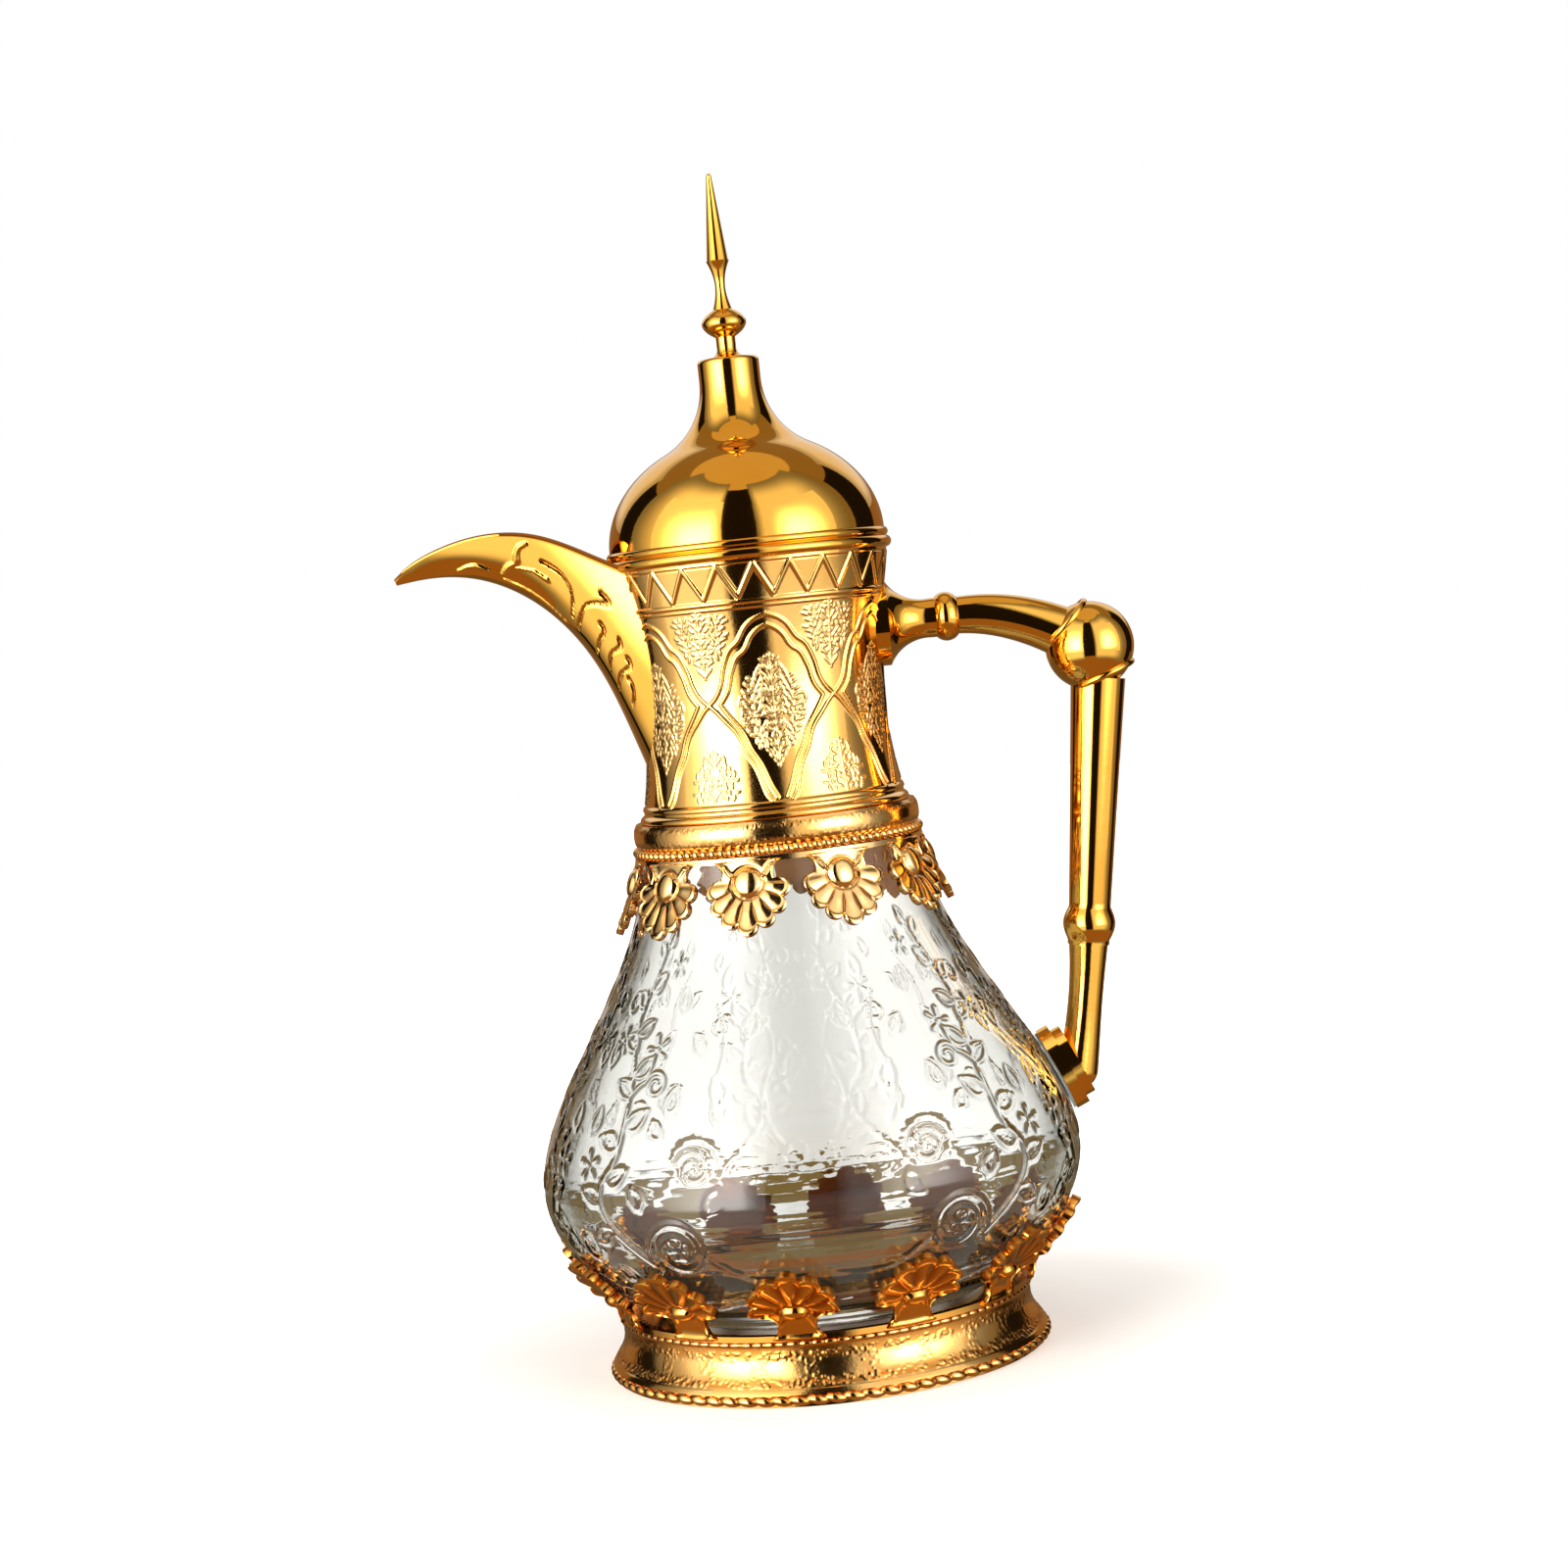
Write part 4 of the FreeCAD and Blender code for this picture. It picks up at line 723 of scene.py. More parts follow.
def palmette(radius_at, root_z, boss_z, tip_z, lobes, step, root, boss, flute, curl, rim, narrow):
    wide, tall, proud = boss
    near, far = beside(radius_at, boss_z, 0.0), beside(radius_at, tip_z, 0.0)
    centre = np.array([near[0], 0, near[1]])
    tip = np.array([far[0], 0, far[1]]) - centre
    tip /= np.linalg.norm(tip)
    out = np.array([abs(tip[2]), 0, -tip[0] if tip[2] > 0 else tip[0]])
    drop = (root_z - boss_z) / -tip[2]
    edge = fan_outline(lobes, step, root, drop)
    turn = np.arctan2(edge[:, 0], edge[:, 1])
    reach = np.hypot(edge[:, 0], edge[:, 1])
    dome = 1 / np.hypot(np.sin(turn) / wide, np.cos(turn) / tall)
    boss_share = np.linspace(0, 1, BOSS_RINGS + 1)[1:, None]
    inner = boss_share * dome[None, :]
    share = np.linspace(0, 1, FAN_RINGS + 1)[1:, None]
    outer = dome[None, :] + share * (reach - dome)[None, :]
    rho = np.vstack([inner, outer])
    across, ahead = rho * np.sin(turn), rho * np.cos(turn)

    last = len(lobes) - 1
    lobe = np.clip(np.round(np.degrees(turn) / step), -last, last)
    ridge = np.abs(np.cos(math.pi * np.clip(np.degrees(turn) / step - lobe, -0.5, 0.5)))
    fan = ease(0, 16, step * (last + 0.75) - np.abs(np.degrees(turn)))
    lift = np.zeros_like(rho)
    lift[:BOSS_RINGS] = proud * np.sqrt(np.clip(1 - boss_share**2, 0, 1))
    swell = ease(0.0, 0.45, share) * (0.55 + 0.45 * share)
    ray = ridge[None, :] ** (narrow[0] + (narrow[1] - narrow[0]) * share)
    lobed = lift[BOSS_RINGS:]
    lobed += flute * swell * ray * fan[None, :]
    lobed += curl * share**3 * fan[None, :]
    lobed += rim * np.exp(-(((share - 0.93) / 0.05) ** 2))
    moat = np.exp(-(((outer - dome[None, :]) - 0.55) / 0.45) ** 2)
    lobed -= 0.3 * moat
    half = root[0]
    side = np.abs(across[BOSS_RINGS:])
    vee = np.clip(-ahead[BOSS_RINGS:] / drop, 0, 1)
    ridge_line = wide * 0.8 + (half * 0.8 - wide * 0.8) * vee
    lobed += 0.55 * np.exp(-(((side - ridge_line) / 0.55) ** 2)) * ease(0.1, 0.3, vee) * (1 - fan)[None, :]
    # Painted shade: darker gold in the grooves between the flutes and in the moat round the boss
    tooling_and_shade = np.zeros_like(rho)
    grooves = (1 - ray) * ease(0.0, 0.3, share) * ease(0.0, 0.1, 0.9 - share) * fan[None, :]
    tooling_and_shade[BOSS_RINGS:] = np.clip(grooves + 0.8 * moat, 0, 1)

    flat = centre + across[..., None] * (0, 1, 0) + ahead[..., None] * tip
    low, high = np.full(rho.shape, -SEARCH_REACH), np.full(rho.shape, SEARCH_REACH)
    for _ in range(40):
        middle = (low + high) / 2
        spot = flat + middle[..., None] * out
        outside = np.hypot(spot[..., 0], spot[..., 1]) > radius_at(spot[..., 2])
        high = np.where(outside, middle, high)
        low = np.where(outside, low, middle)
    spot = flat + low[..., None] * out
    radius = np.hypot(spot[..., 0], spot[..., 1])
    slope = slope_at(radius_at, spot[..., 2])
    normal = np.stack([spot[..., 0] / radius, spot[..., 1] / radius, -slope], -1)
    normal /= np.linalg.norm(normal, axis=-1)[..., None]
    front = spot + normal * lift[..., None]
    back = spot - normal * GALLERY_WALL

    rows, cols = rho.shape
    hub_front = np.array([[near[0] + out[0] * proud, 0, near[1] + out[2] * proud]])
    hub_back = np.array([[near[0] - out[0] * GALLERY_WALL, 0, near[1] - out[2] * GALLERY_WALL]])
    points = np.vstack([front.reshape(-1, 3), back.reshape(-1, 3), hub_front, hub_back])
    skin = grid_faces(rows, cols)
    shift = rows * cols
    loop = np.arange(cols)
    edge_loop = loop + (rows - 1) * cols
    next_loop = np.roll(edge_loop, -1)
    side_faces = np.stack([edge_loop, next_loop, next_loop + shift, edge_loop + shift], -1)
    hub_faces = [fan_faces(2 * shift, loop[::-1]), fan_faces(2 * shift + 1, loop + shift)]
    faces = [skin, skin[:, ::-1] + shift, side_faces] + hub_faces
    if tip[2] < 0:
        faces = [f[:, ::-1] for f in faces]
    # Painted shade: the whole back face and its hub are dark gold
    value = np.concatenate([tooling_and_shade.ravel(), np.ones(shift), [0, 1]])
    return points, faces, value


def around(part, count, turn):
    points, faces, tooling_and_shade = part
    copies = []
    for k in range(count):
        angle = math.radians(turn - 90 + 360.0 * k / count)
        cos, sin = math.cos(angle), math.sin(angle)
        spin = np.array([[cos, -sin, 0], [sin, cos, 0], [0, 0, 1]])
        copies.append((points @ spin.T, faces, tooling_and_shade))
    return merged(*copies)


def band(inner, outer, low, high):
    return turned(run([(inner, low), (outer, low), (outer, high), (inner, high)]))


FOOT_LOBES = (15.6, 14.6, 13.2, 11.8)
FOOT_FANS, FOOT_FAN_TURN = 12, -8.0
FOOT_ROOT_Z, FOOT_BOSS_Z = 17.87, 24.9
FOOT_BAND_INNER, FOOT_BAND_TOP = 54.4, 18.0
foot_fan = palmette(
    foot_gallery_radius,
    FOOT_ROOT_Z,
    FOOT_BOSS_Z,
    FOOT_BOSS_Z + FOOT_LOBES[0] * 0.7,
    FOOT_LOBES,
    step=28.0,
    root=(7.0, 5.3),
    boss=(3.4, 2.1, 1.7),
    flute=0.8,
    curl=0.7,
    rim=0.45,
    narrow=(2.6, 1.3),
)
foot_band = band(FOOT_BAND_INNER, FOOT_BAND_RADIUS, FOOT_HEIGHT, FOOT_BAND_TOP)
foot_gallery = merged(foot_band, around(foot_fan, FOOT_FANS, FOOT_FAN_TURN))
add_piece("foot_gallery_fans", foot_gallery, cast, "foot_gallery")

SHOULDER_LOBES = (14.4, 13.2, 12.2, 11.2)
SHOULDER_FANS, SHOULDER_FAN_TURN = 10, -13.0
SHOULDER_ROOT_Z, SHOULDER_BOSS_Z = 139.1, 133.4
SHOULDER_BAND_LOW = GALLERY_Z - 1.4
shoulder_fan = palmette(
    shoulder_gallery_radius,
    SHOULDER_ROOT_Z,
    SHOULDER_BOSS_Z,
    SHOULDER_BOSS_Z - SHOULDER_LOBES[0] * 0.9,
    SHOULDER_LOBES,
    step=26.0,
    root=(9.2, 6.9),
    boss=(3.8, 3.8, 1.4),
    flute=0.6,
    curl=0.3,
    rim=0.35,
    narrow=(0.9, 0.4),
)
band_edge = float(shoulder_gallery_radius(SHOULDER_BAND_LOW))
shoulder_band = band(band_edge - 1.0, band_edge, SHOULDER_BAND_LOW, GALLERY_Z)
shoulder_gallery = merged(shoulder_band, around(shoulder_fan, SHOULDER_FANS, SHOULDER_FAN_TURN))
add_piece("shoulder_gallery_fans", shoulder_gallery, cast_painted_light, "shoulder_gallery")

FIT_GAP = 0.2
rope_inner = float(glass_radius(GALLERY_Z)) + FIT_GAP
shoulder_edge = rope(rope_inner + 0.5, GALLERY_Z, SOCKET_Z, 1.3, 94, 2.2, 0.7)
add_piece("shoulder_rope_twisted", shoulder_edge, stippled, "shoulder_rope")


# Neck: a grained torus band, then a waisted sleeve with a lattice of ogee cartouches, sprays and a zigzag
NECK_GRAIN = 0.11
SOCKET_TOP = 147.5
NECK_BORE = 33.7


def neck_band():
    bore = float(glass_radius(SOCKET_Z)) + FIT_GAP
    face = refine(bow((bore + 0.6, SOCKET_Z), (bore + 1.3, 145.65), (bore + 0.4, SLEEVE_Z), 25), 0.28)
    socket = [(NECK_BORE, SLEEVE_Z), (NECK_BORE, SOCKET_TOP), (bore, SOCKET_TOP)]
    profile = run([(bore, SOCKET_Z)], face, socket)
    rows = len(face)
    grains = granules(rows, FINE_STEPS, 6.6, 252.0, 3600, 0.42, NECK_GRAIN, 11)
    share = np.linspace(0, 1, rows)[:, None]
    middle = ease(0.2, 0.4, share) * ease(0.0, 0.2, 0.8 - share)
    mask = ease(0.04, 0.12, share) * ease(0.0, 0.1, 0.92 - share) * (1 - 0.93 * middle)
    relief = np.zeros((len(profile), FINE_STEPS))
    relief[1 : 1 + rows] = grains * mask
    # Painted shade: darker gold between the grains
    tooling_and_shade = np.zeros_like(relief)
    tooling_and_shade[1 : 1 + rows] = 0.6 * mask * (1 - grains / NECK_GRAIN)
    return turned(profile, FINE_STEPS, relief, tooling_and_shade)


add_piece("neck_band_grained", neck_band(), stippled, "neck_band")

SLEEVE_TILES = 6
SLEEVE_COLUMNS = 144
SLEEVE_PITCH = 35.08
SLEEVE_TURN = math.radians(4.0)
LINE_RISE = 0.38
SPRAY_RISE = 0.24
SPRAY_STEP = 1.45
# Round mouldings of the sleeve: height, half width and rise
SLEEVE_BEADS = ((205.7, 0.75, 0.5), (216.3, 0.6, 0.35), (152.6, 0.8, 0.5), (204.4, 0.35, 0.25))


def lattice():
    upper = [
        (0, 202.2), (3.2, 200.9), (6.0, 198.2), (8.0, 195.2), (9.6, 194.0), (11.4, 191.2),
        (12.6, 188.0), (13.2, 185.6), (14.2, 183.2), (15.8, 181.0), (17.54, 179.5),
    ]
    upper_in = [
        (0, 199.4), (2.4, 198.2), (4.6, 195.8), (6.4, 192.9), (8.0, 191.8), (9.6, 189.2),
        (10.7, 186.4), (11.3, 184.0), (12.5, 181.6), (14.2, 179.6),
    ]
    lower = [
        (17.54, 179.5), (15.6, 177.8), (13.6, 175.4), (11.6, 173.2), (9.7, 170.2), (8.4, 166.6),
        (6.6, 163.6), (5.3, 160.4), (4.4, 157.2), (3.7, 155.2), (2.6, 153.6),
    ]
    lower_in = [
        (14.2, 179.6), (12.4, 176.8), (10.4, 174.0), (8.6, 171.0), (7.2, 167.4), (5.4, 164.2),
        (4.0, 160.8), (2.9, 157.6), (1.4, 154.4),
    ]
    return mirrored([stroke(line, 0.48, LINE_RISE) for line in (upper, upper_in, lower, lower_in)])


def spray(low, high, widths, seed):
    """A bush of small leaves inside an outline, with blossoms; the two halves mirror each other."""
    rng = np.random.RandomState(seed)
    levels = np.linspace(low, high, len(widths))
    tall = high - low
    buds = [(0.0, low + tall * share, size) for share, size in ((0.32, 1.6), (0.62, 1.4), (0.98, 1.1))]
    wide = float(np.interp(low + tall * 0.45, levels, widths))
    buds.append((wide * 0.6, low + tall * 0.45, 1.4))
    half = [stroke([(0, low - 0.5), (0, (low + high) / 2), (0, high)], 0.3, SPRAY_RISE)]
    for k, z in enumerate(np.arange(low + 0.6, high, SPRAY_STEP)):
        reach = float(np.interp(z, levels, widths))
        for x in np.arange(0.5 + 0.75 * (k % 2), reach, 1.5):
            cx, cz = x + rng.uniform(-0.25, 0.25), z + rng.uniform(-0.25, 0.25)
            if min(math.hypot(cx - bx, cz - bz) - size for bx, bz, size in buds) < 0.3:
                continue
            lean = math.atan2(cz - low + 5.0, cx * 1.5) + (0.65 if (k + int(x)) % 2 else -0.65)
            way = np.array([math.cos(lean), math.sin(lean)]) * rng.uniform(0.75, 1.05)
            bend = np.array([-way[1], way[0]]) * rng.uniform(-0.3, 0.3)
            spot = np.array([cx, cz])
            half.append(stroke([spot - way, spot + bend, spot + way], 0.42, SPRAY_RISE, "leaf"))
    for k, (bx, bz, size) in enumerate(buds):
        half += blossom(bx, bz, size, 6, 0.36, SPRAY_RISE, 0.3 * k)
    return mirrored(half)


def zigzag(low, high, count, start):
    step = SLEEVE_PITCH / count
    points = []
    for k in range(count + 1):
        points += [(start + step * k, high), (start + step * (k + 0.5), low)]
    return stroke(points, 0.62, 0.45, corner=True)


def sleeve_relief(x, z):
    edge = SLEEVE_PITCH / 2
    low, high, count = 207.0, 215.4, 4
    start = -1.64 - edge
    lines = lattice() + [zigzag(low, high, count, start)]
    middle = spray(163.0, 191.0, (1.2, 3.6, 7.0, 8.8, 9.0, 7.6, 4.6, 2.4), 3)
    upper = spray(187.0, 203.2, (0.8, 3.2, 5.6, 7.4, 7.6, 6.0), 4)
    lower = spray(154.8, 166.6, (5.2, 6.2, 5.8, 4.6, 2.4), 5)
    sprays = middle + moved(upper, edge) + moved(lower, edge)
    height = tile_relief(x, z, lines, SLEEVE_PITCH)
    leaves = tile_relief(x, z, sprays, SLEEVE_PITCH)
    for level, width, rise in SLEEVE_BEADS:
        bead = rise * np.sqrt(np.clip(1 - ((z - level) / width) ** 2, 0, 1))
        height = np.maximum(height, bead[:, None])
    tooth = np.abs((x - start) / (SLEEVE_PITCH / count) % 1 - 0.5)[None, :]
    fill = ease(0, 0.06, (z[:, None] - low) / (high - low) / 2 - tooth - 0.06) * (z[:, None] < high)
    height = np.maximum(height, 0.24 * fill)
    spread = leaves.copy()
    for shift in (-2, -1, 1, 2):
        spread = np.maximum(spread, np.roll(leaves, shift, 0))
        spread = np.maximum(spread, np.roll(leaves, shift, 1))
    return np.maximum(height, leaves), 0.85 * np.clip(spread / SPRAY_RISE, 0, 1)


def neck_sleeve():
    columns, blocks, fine = SLEEVE_TILES * SLEEVE_COLUMNS, 64, 4
    rows = blocks * fine + 1
    z = np.linspace(SLEEVE_Z, RING_Z, rows)
    turn = full_turn(columns)
    x = (np.arange(SLEEVE_COLUMNS) / SLEEVE_COLUMNS - 0.5) * SLEEVE_PITCH
    height, tooling_and_shade = sleeve_relief(x, z)
    shift = int(round((SLEEVE_TURN - math.pi / SLEEVE_TILES) / math.tau * columns))
    height, tooling_and_shade = [np.roll(np.hstack([tile] * SLEEVE_TILES), shift, axis=1) for tile in (height, tooling_and_shade)]
    ends = ease(0, 1.0, RING_Z - z) * ease(0, 0.4, z - SLEEVE_Z)
    bead = 0.8 * np.sqrt(np.clip(1 - ((z - SLEEVE_Z - 1.0) / 1.0) ** 2, 0, 1))
    radius = sleeve_radius(z)[:, None] + np.maximum(height * ends[:, None], bead[:, None])
    outer = ring_points(radius, z[:, None], turn)
    z_in = z[::fine]
    inner = ring_points(sleeve_radius(z_in)[:, None] - SLEEVE_WALL + 0 * turn[None, :], z_in[:, None], turn)

    wall = np.ones((blocks, columns), bool)
    tree = BVHTree.FromObject(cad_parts["neck_sleeve"], bpy.context.evaluated_depsgraph_get())
    z_mid = (z_in[:-1] + z_in[1:]) / 2
    turn_mid = turn + math.pi / columns
    for b in range(blocks):
        for c in np.nonzero(np.abs(turn_mid - 1.5 * math.pi) < 0.9)[0]:
            way = Vector((math.sin(turn_mid[c]), -math.cos(turn_mid[c]), 0))
            start = way * 20 * MM + Vector((0, 0, z_mid[b] * MM))
            wall[b, c] = tree.ray_cast(start, way, 25 * MM)[0] is not None

    count = rows * columns
    whole = np.repeat(wall, fine, axis=0)
    outer_skin = grid_faces(rows, columns)[whole.ravel()]
    inner_skin = grid_faces(blocks + 1, columns)[wall.ravel()][:, ::-1] + count
    faces = [outer_skin, inner_skin]

    def out_id(i, j):
        return i * columns + j % columns

    def in_id(b, j):
        return count + b * columns + j % columns

    flat, upright = [], []
    for edge in range(blocks + 1):
        above = wall[edge] if edge < blocks else np.zeros(columns, bool)
        below = wall[edge - 1] if edge else np.zeros(columns, bool)
        for j in np.nonzero(above != below)[0]:
            quad = [out_id(edge * fine, j), in_id(edge, j), in_id(edge, j + 1), out_id(edge * fine, j + 1)]
            flat.append(quad if above[j] else quad[::-1])
    for b in range(blocks):
        for j in np.nonzero(wall[b] != np.roll(wall[b], 1))[0]:
            side = [out_id(b * fine + k, j) for k in range(fine + 1)] + [in_id(b + 1, j), in_id(b, j)]
            upright.append(side[::-1] if not wall[b, j] else side)
    faces.append(np.array(flat))
    if upright:
        faces.append(np.array(upright))
    value = np.concatenate([tooling_and_shade.ravel(), np.zeros(len(z_in) * columns)])
    return np.vstack([outer.reshape(-1, 3), inner.reshape(-1, 3)]), faces, value


add_piece("neck_sleeve_engraved", neck_sleeve(), engraved, "neck_sleeve", crease=60.0)


RING_BORE = 34.7
ROUND_STEPS = 320


def mouth_ring():
    lower = bow((MOUTH_RADIUS, RING_Z), (38.75, RING_Z + 1.6), (37.5, RING_Z + 3.2), 15)
    upper = bow((37.5, RING_Z + 3.2), (38.1, RING_Z + 4.3), (37.4, LID_Z), 11)
    return turned(run([(RING_BORE, RING_Z)], lower, upper, [(RING_BORE, LID_Z)]), ROUND_STEPS)


add_piece("mouth_ring_moulded", mouth_ring(), polished, "mouth_ring")


# Spout: a lofted open beak with scroll leaves on both cheeks.
# Stations: reach and rise of the rim, reach and rise of the keel, and half width
SPOUT_STATIONS = (
    (-11.0, -3.6, -5.0, -70.0, 19.2),
    (4.8, 4.8, 3.6, -42.6, 14.8),
    (18.8, 11.5, 12.3, -21.3, 11.2),
    (32.8, 13.3, 26.3, -4.8, 7.7),
    (45.8, 11.0, 41.3, 2.8, 4.6),
    (54.6, 7.1, 53.9, 4.1, 2.1),
    (58.2, 4.4, 62.4, 3.2, 1.0),
)
SPOUT_SHARES = ((1.0, 1.0), (0.93, 0.66), (0.72, 0.3), (0.4, 0.08))
SPOUT_WALL = 1.5
SPOUT_ROOT_RADIUS = 36.6
RIM_BEADS = (1.2, 1.2, 1.2, 1.1, 0.9, 0.7, 0.5)
RIM_POINTS = 7
# How dark the rim beads are painted, as shade
RIM_PAINTED_SHADE = 0.9


def spout_section(station, wall):
    rim_reach, rim_rise, keel_reach, keel_rise, half = station
    rim = np.array([-MOUTH_RADIUS - rim_reach, 0, RING_Z + rim_rise])
    keel = np.array([-WAIST_RADIUS - keel_reach, 0, RING_Z + keel_rise])
    thick = min(wall, half * 0.45)
    deep = rim - keel
    keel = keel + deep * (thick * 1.2 / np.linalg.norm(deep))
    deep = rim - keel
    left = [keel + deep * up + (0, (half - thick) * out, 0) for out, up in SPOUT_SHARES]
    right = [keel + deep * up - (0, (half - thick) * out, 0) for out, up in SPOUT_SHARES]
    return smooth(left + [keel] + right[::-1], 161)


def spout_grooves():
    lines = (
        [(-39.9, 212.0), (-37.9, 208.9), (-43.1, 209.5), (-46.0, 206.6), (-47.2, 203.1)],
        [(-41.1, 204.0), (-40.2, 201.8), (-41.8, 199.4), (-42.7, 196.3)],
        [(-36.6, 199.3), (-36.2, 197.5), (-38.5, 195.9), (-39.8, 191.3)],
        [(-34.9, 194.1), (-34.1, 191.9), (-36.5, 190.4), (-38.0, 185.8)],
        [(-35.3, 188.7), (-34.2, 185.9), (-34.9, 181.3)],
        [(-54.9, 222.0), (-50.5, 218.7), (-47.9, 213.7), (-48.4, 206.4)],
    )
    return [stroke(line, 0.62, 0.5, "tail") for line in lines]


def spout_leaves():
    return [
        stroke([(-58.5, 227.2), (-61.0, 226.0), (-61.8, 223.0)], 0.9, 0.6, "drop"),
        stroke([(-61.5, 222.6), (-64.0, 221.6), (-66.2, 219.6)], 0.8, 0.55, "leaf"),
        stroke([(-69.5, 221.2), (-73.7, 222.8), (-78.0, 222.2)], 0.7, 0.5, "leaf"),
        stroke([(-50.0, 205.0), (-55.0, 210.5), (-60.0, 215.0), (-66.0, 218.8)], 0.6, 0.4, "leaf"),
        stroke([(-54.0, 217.0), (-58.0, 220.0), (-62.0, 221.0)], 0.6, 0.4, "tail"),
    ]


def spout_beak():
    stations = 220
    outer = np.stack([spout_section(s, 0.0) for s in SPOUT_STATIONS])
    inner = np.stack([spout_section(s, SPOUT_WALL) for s in SPOUT_STATIONS])
    size = outer.shape[1]
    sheet = np.stack([smooth(outer[:, k], stations) for k in range(size)], 1)
    hollow = np.stack([smooth(inner[:, k], stations) for k in range(size)], 1)

    def skin_normal(grid):
        along, across = np.gradient(grid, axis=0), np.gradient(grid, axis=1)
        normal = np.cross(across, along)
        return normal / np.maximum(np.linalg.norm(normal, axis=-1), 1e-9)[..., None]

    x, z = np.linspace(-97, -30, 336), np.linspace(140, 235, 476)
    raised_field, sunk_field = np.zeros((len(z), len(x))), np.zeros((len(z), len(x)))
    for path, widths, rise in spout_leaves():
        draw(raised_field, x, z, path, widths, rise, 0.7)
    for path, widths, rise in spout_grooves():
        draw(sunk_field, x, z, path, widths, rise, 0.7)
    col = np.clip(np.round((sheet[..., 0] - x[0]) / (x[1] - x[0])).astype(int), 0, len(x) - 1)
    row = np.clip(np.round((sheet[..., 2] - z[0]) / (z[1] - z[0])).astype(int), 0, len(z) - 1)
    cut = sunk_field[row, col]
    lift = raised_field[row, col] - cut
    normal = skin_normal(sheet)
    middle = sheet.mean(axis=1)[:, None, :]
    flip = np.sign(((sheet - middle) * normal).sum(-1).sum(1))[:, None, None]
    raised = sheet + normal * flip * lift[..., None]

    last_bead = len(RIM_BEADS) - 1
    bead = np.interp(np.linspace(0, last_bead, stations), np.arange(last_bead + 1), RIM_BEADS)

    def rim_arc(first, last):
        centre = (first + last) / 2
        half = (last - first) / 2
        rise = np.cross(half, np.gradient(centre, axis=0))
        rise *= np.sign(rise[:, 2:] + 1e-12)
        rise /= np.maximum(np.linalg.norm(rise, axis=1), 1e-9)[:, None]
        swell = half / np.maximum(np.linalg.norm(half, axis=1), 1e-9)[:, None]
        spots = []
        for turn in np.linspace(0, math.pi, RIM_POINTS + 2)[1:-1]:
            aside, up = (bead * math.cos(turn))[:, None], (bead * math.sin(turn))[:, None]
            spots.append(centre - swell * aside + rise * up)
        return np.stack(spots, 1)

    far_rim, near_rim = rim_arc(sheet[:, -1], hollow[:, -1]), rim_arc(hollow[:, 0], sheet[:, 0])
    loop = np.concatenate([raised, far_rim, hollow[:, ::-1], near_rim], 1)
    least = sleeve_radius(np.clip(loop[..., 2], SLEEVE_Z, RING_Z)) - SLEEVE_WALL / 2
    loop = pushed_out(loop, np.where(loop[..., 2] > RING_Z, SPOUT_ROOT_RADIUS, least))
    rows, cols = loop.shape[:2]
    ends = np.stack([loop[0].mean(0), loop[-1].mean(0)])
    # Painted shade: dark gold in the sunk grooves and along both beads of the rim
    value = np.zeros((rows, cols))
    value[:, :size] = np.clip(cut / 0.4, 0, 1)
    value[:, size : size + RIM_POINTS] = RIM_PAINTED_SHADE
    value[:, -RIM_POINTS:] = RIM_PAINTED_SHADE
    points = np.vstack([loop.reshape(-1, 3), ends])
    return points, capped_faces(rows, cols), np.concatenate([value.ravel(), [0, 0]])


add_piece("spout_beak", spout_beak(), polished, "spout", crease=60.0)


# Lid: ogee dome, centring collar and turned finial
def ogee(radius, rise, neck, count):
    join = math.radians(58.0)
    turn = np.linspace(0, join, count)
    rim = np.stack([radius * np.cos(turn), LID_Z + rise * np.sin(turn)], -1)
    lean = math.atan2(radius * math.sin(join), rise * math.cos(join))
    sweep = (rim[-1, 0] - neck) / (1 - math.cos(lean))
    end_z = rim[-1, 1] + sweep * math.sin(lean)
    half = lean / 2
    middle = (neck + sweep * (1 - math.cos(half)), end_z - sweep * math.sin(half))
    return run(rim, bow(rim[-1], middle, (neck, end_z), count)), end_z


LID_WALL = 1.2
LID_RISE = 29.4
LID_NECK = 8.3
LID_TOP = ogee(MOUTH_RADIUS, LID_RISE, LID_NECK, 5)[1] + 6.0
FINIAL_BORE = 2.1


def lid_dome():
    bore = LID_NECK - LID_WALL
    outside = ogee(MOUTH_RADIUS, LID_RISE, LID_NECK, 40)[0]
    inside = ogee(MOUTH_RADIUS - LID_WALL, LID_RISE - LID_WALL, bore, 30)[0][::-1]
    shoulder = bow((LID_NECK, LID_TOP - 1.2), (LID_NECK - 0.36, LID_TOP - 0.36), (LID_NECK - 1.2, LID_TOP), 7)
    ceiling = LID_TOP - 1.6
    top = [(FINIAL_BORE, LID_TOP), (FINIAL_BORE, ceiling), (bore, ceiling)]
    return turned(run(outside, shoulder, top, inside), ROUND_STEPS)


def lid_collar():
    bore, outer, flange = 33.0, 34.2, 35.9
    low, high = LID_Z - 8.0, LID_Z + LID_WALL
    step = [(outer, low), (outer, LID_Z), (flange, LID_Z), (flange, high)]
    return turned(run([(bore, low)], step, [(bore, high)]))


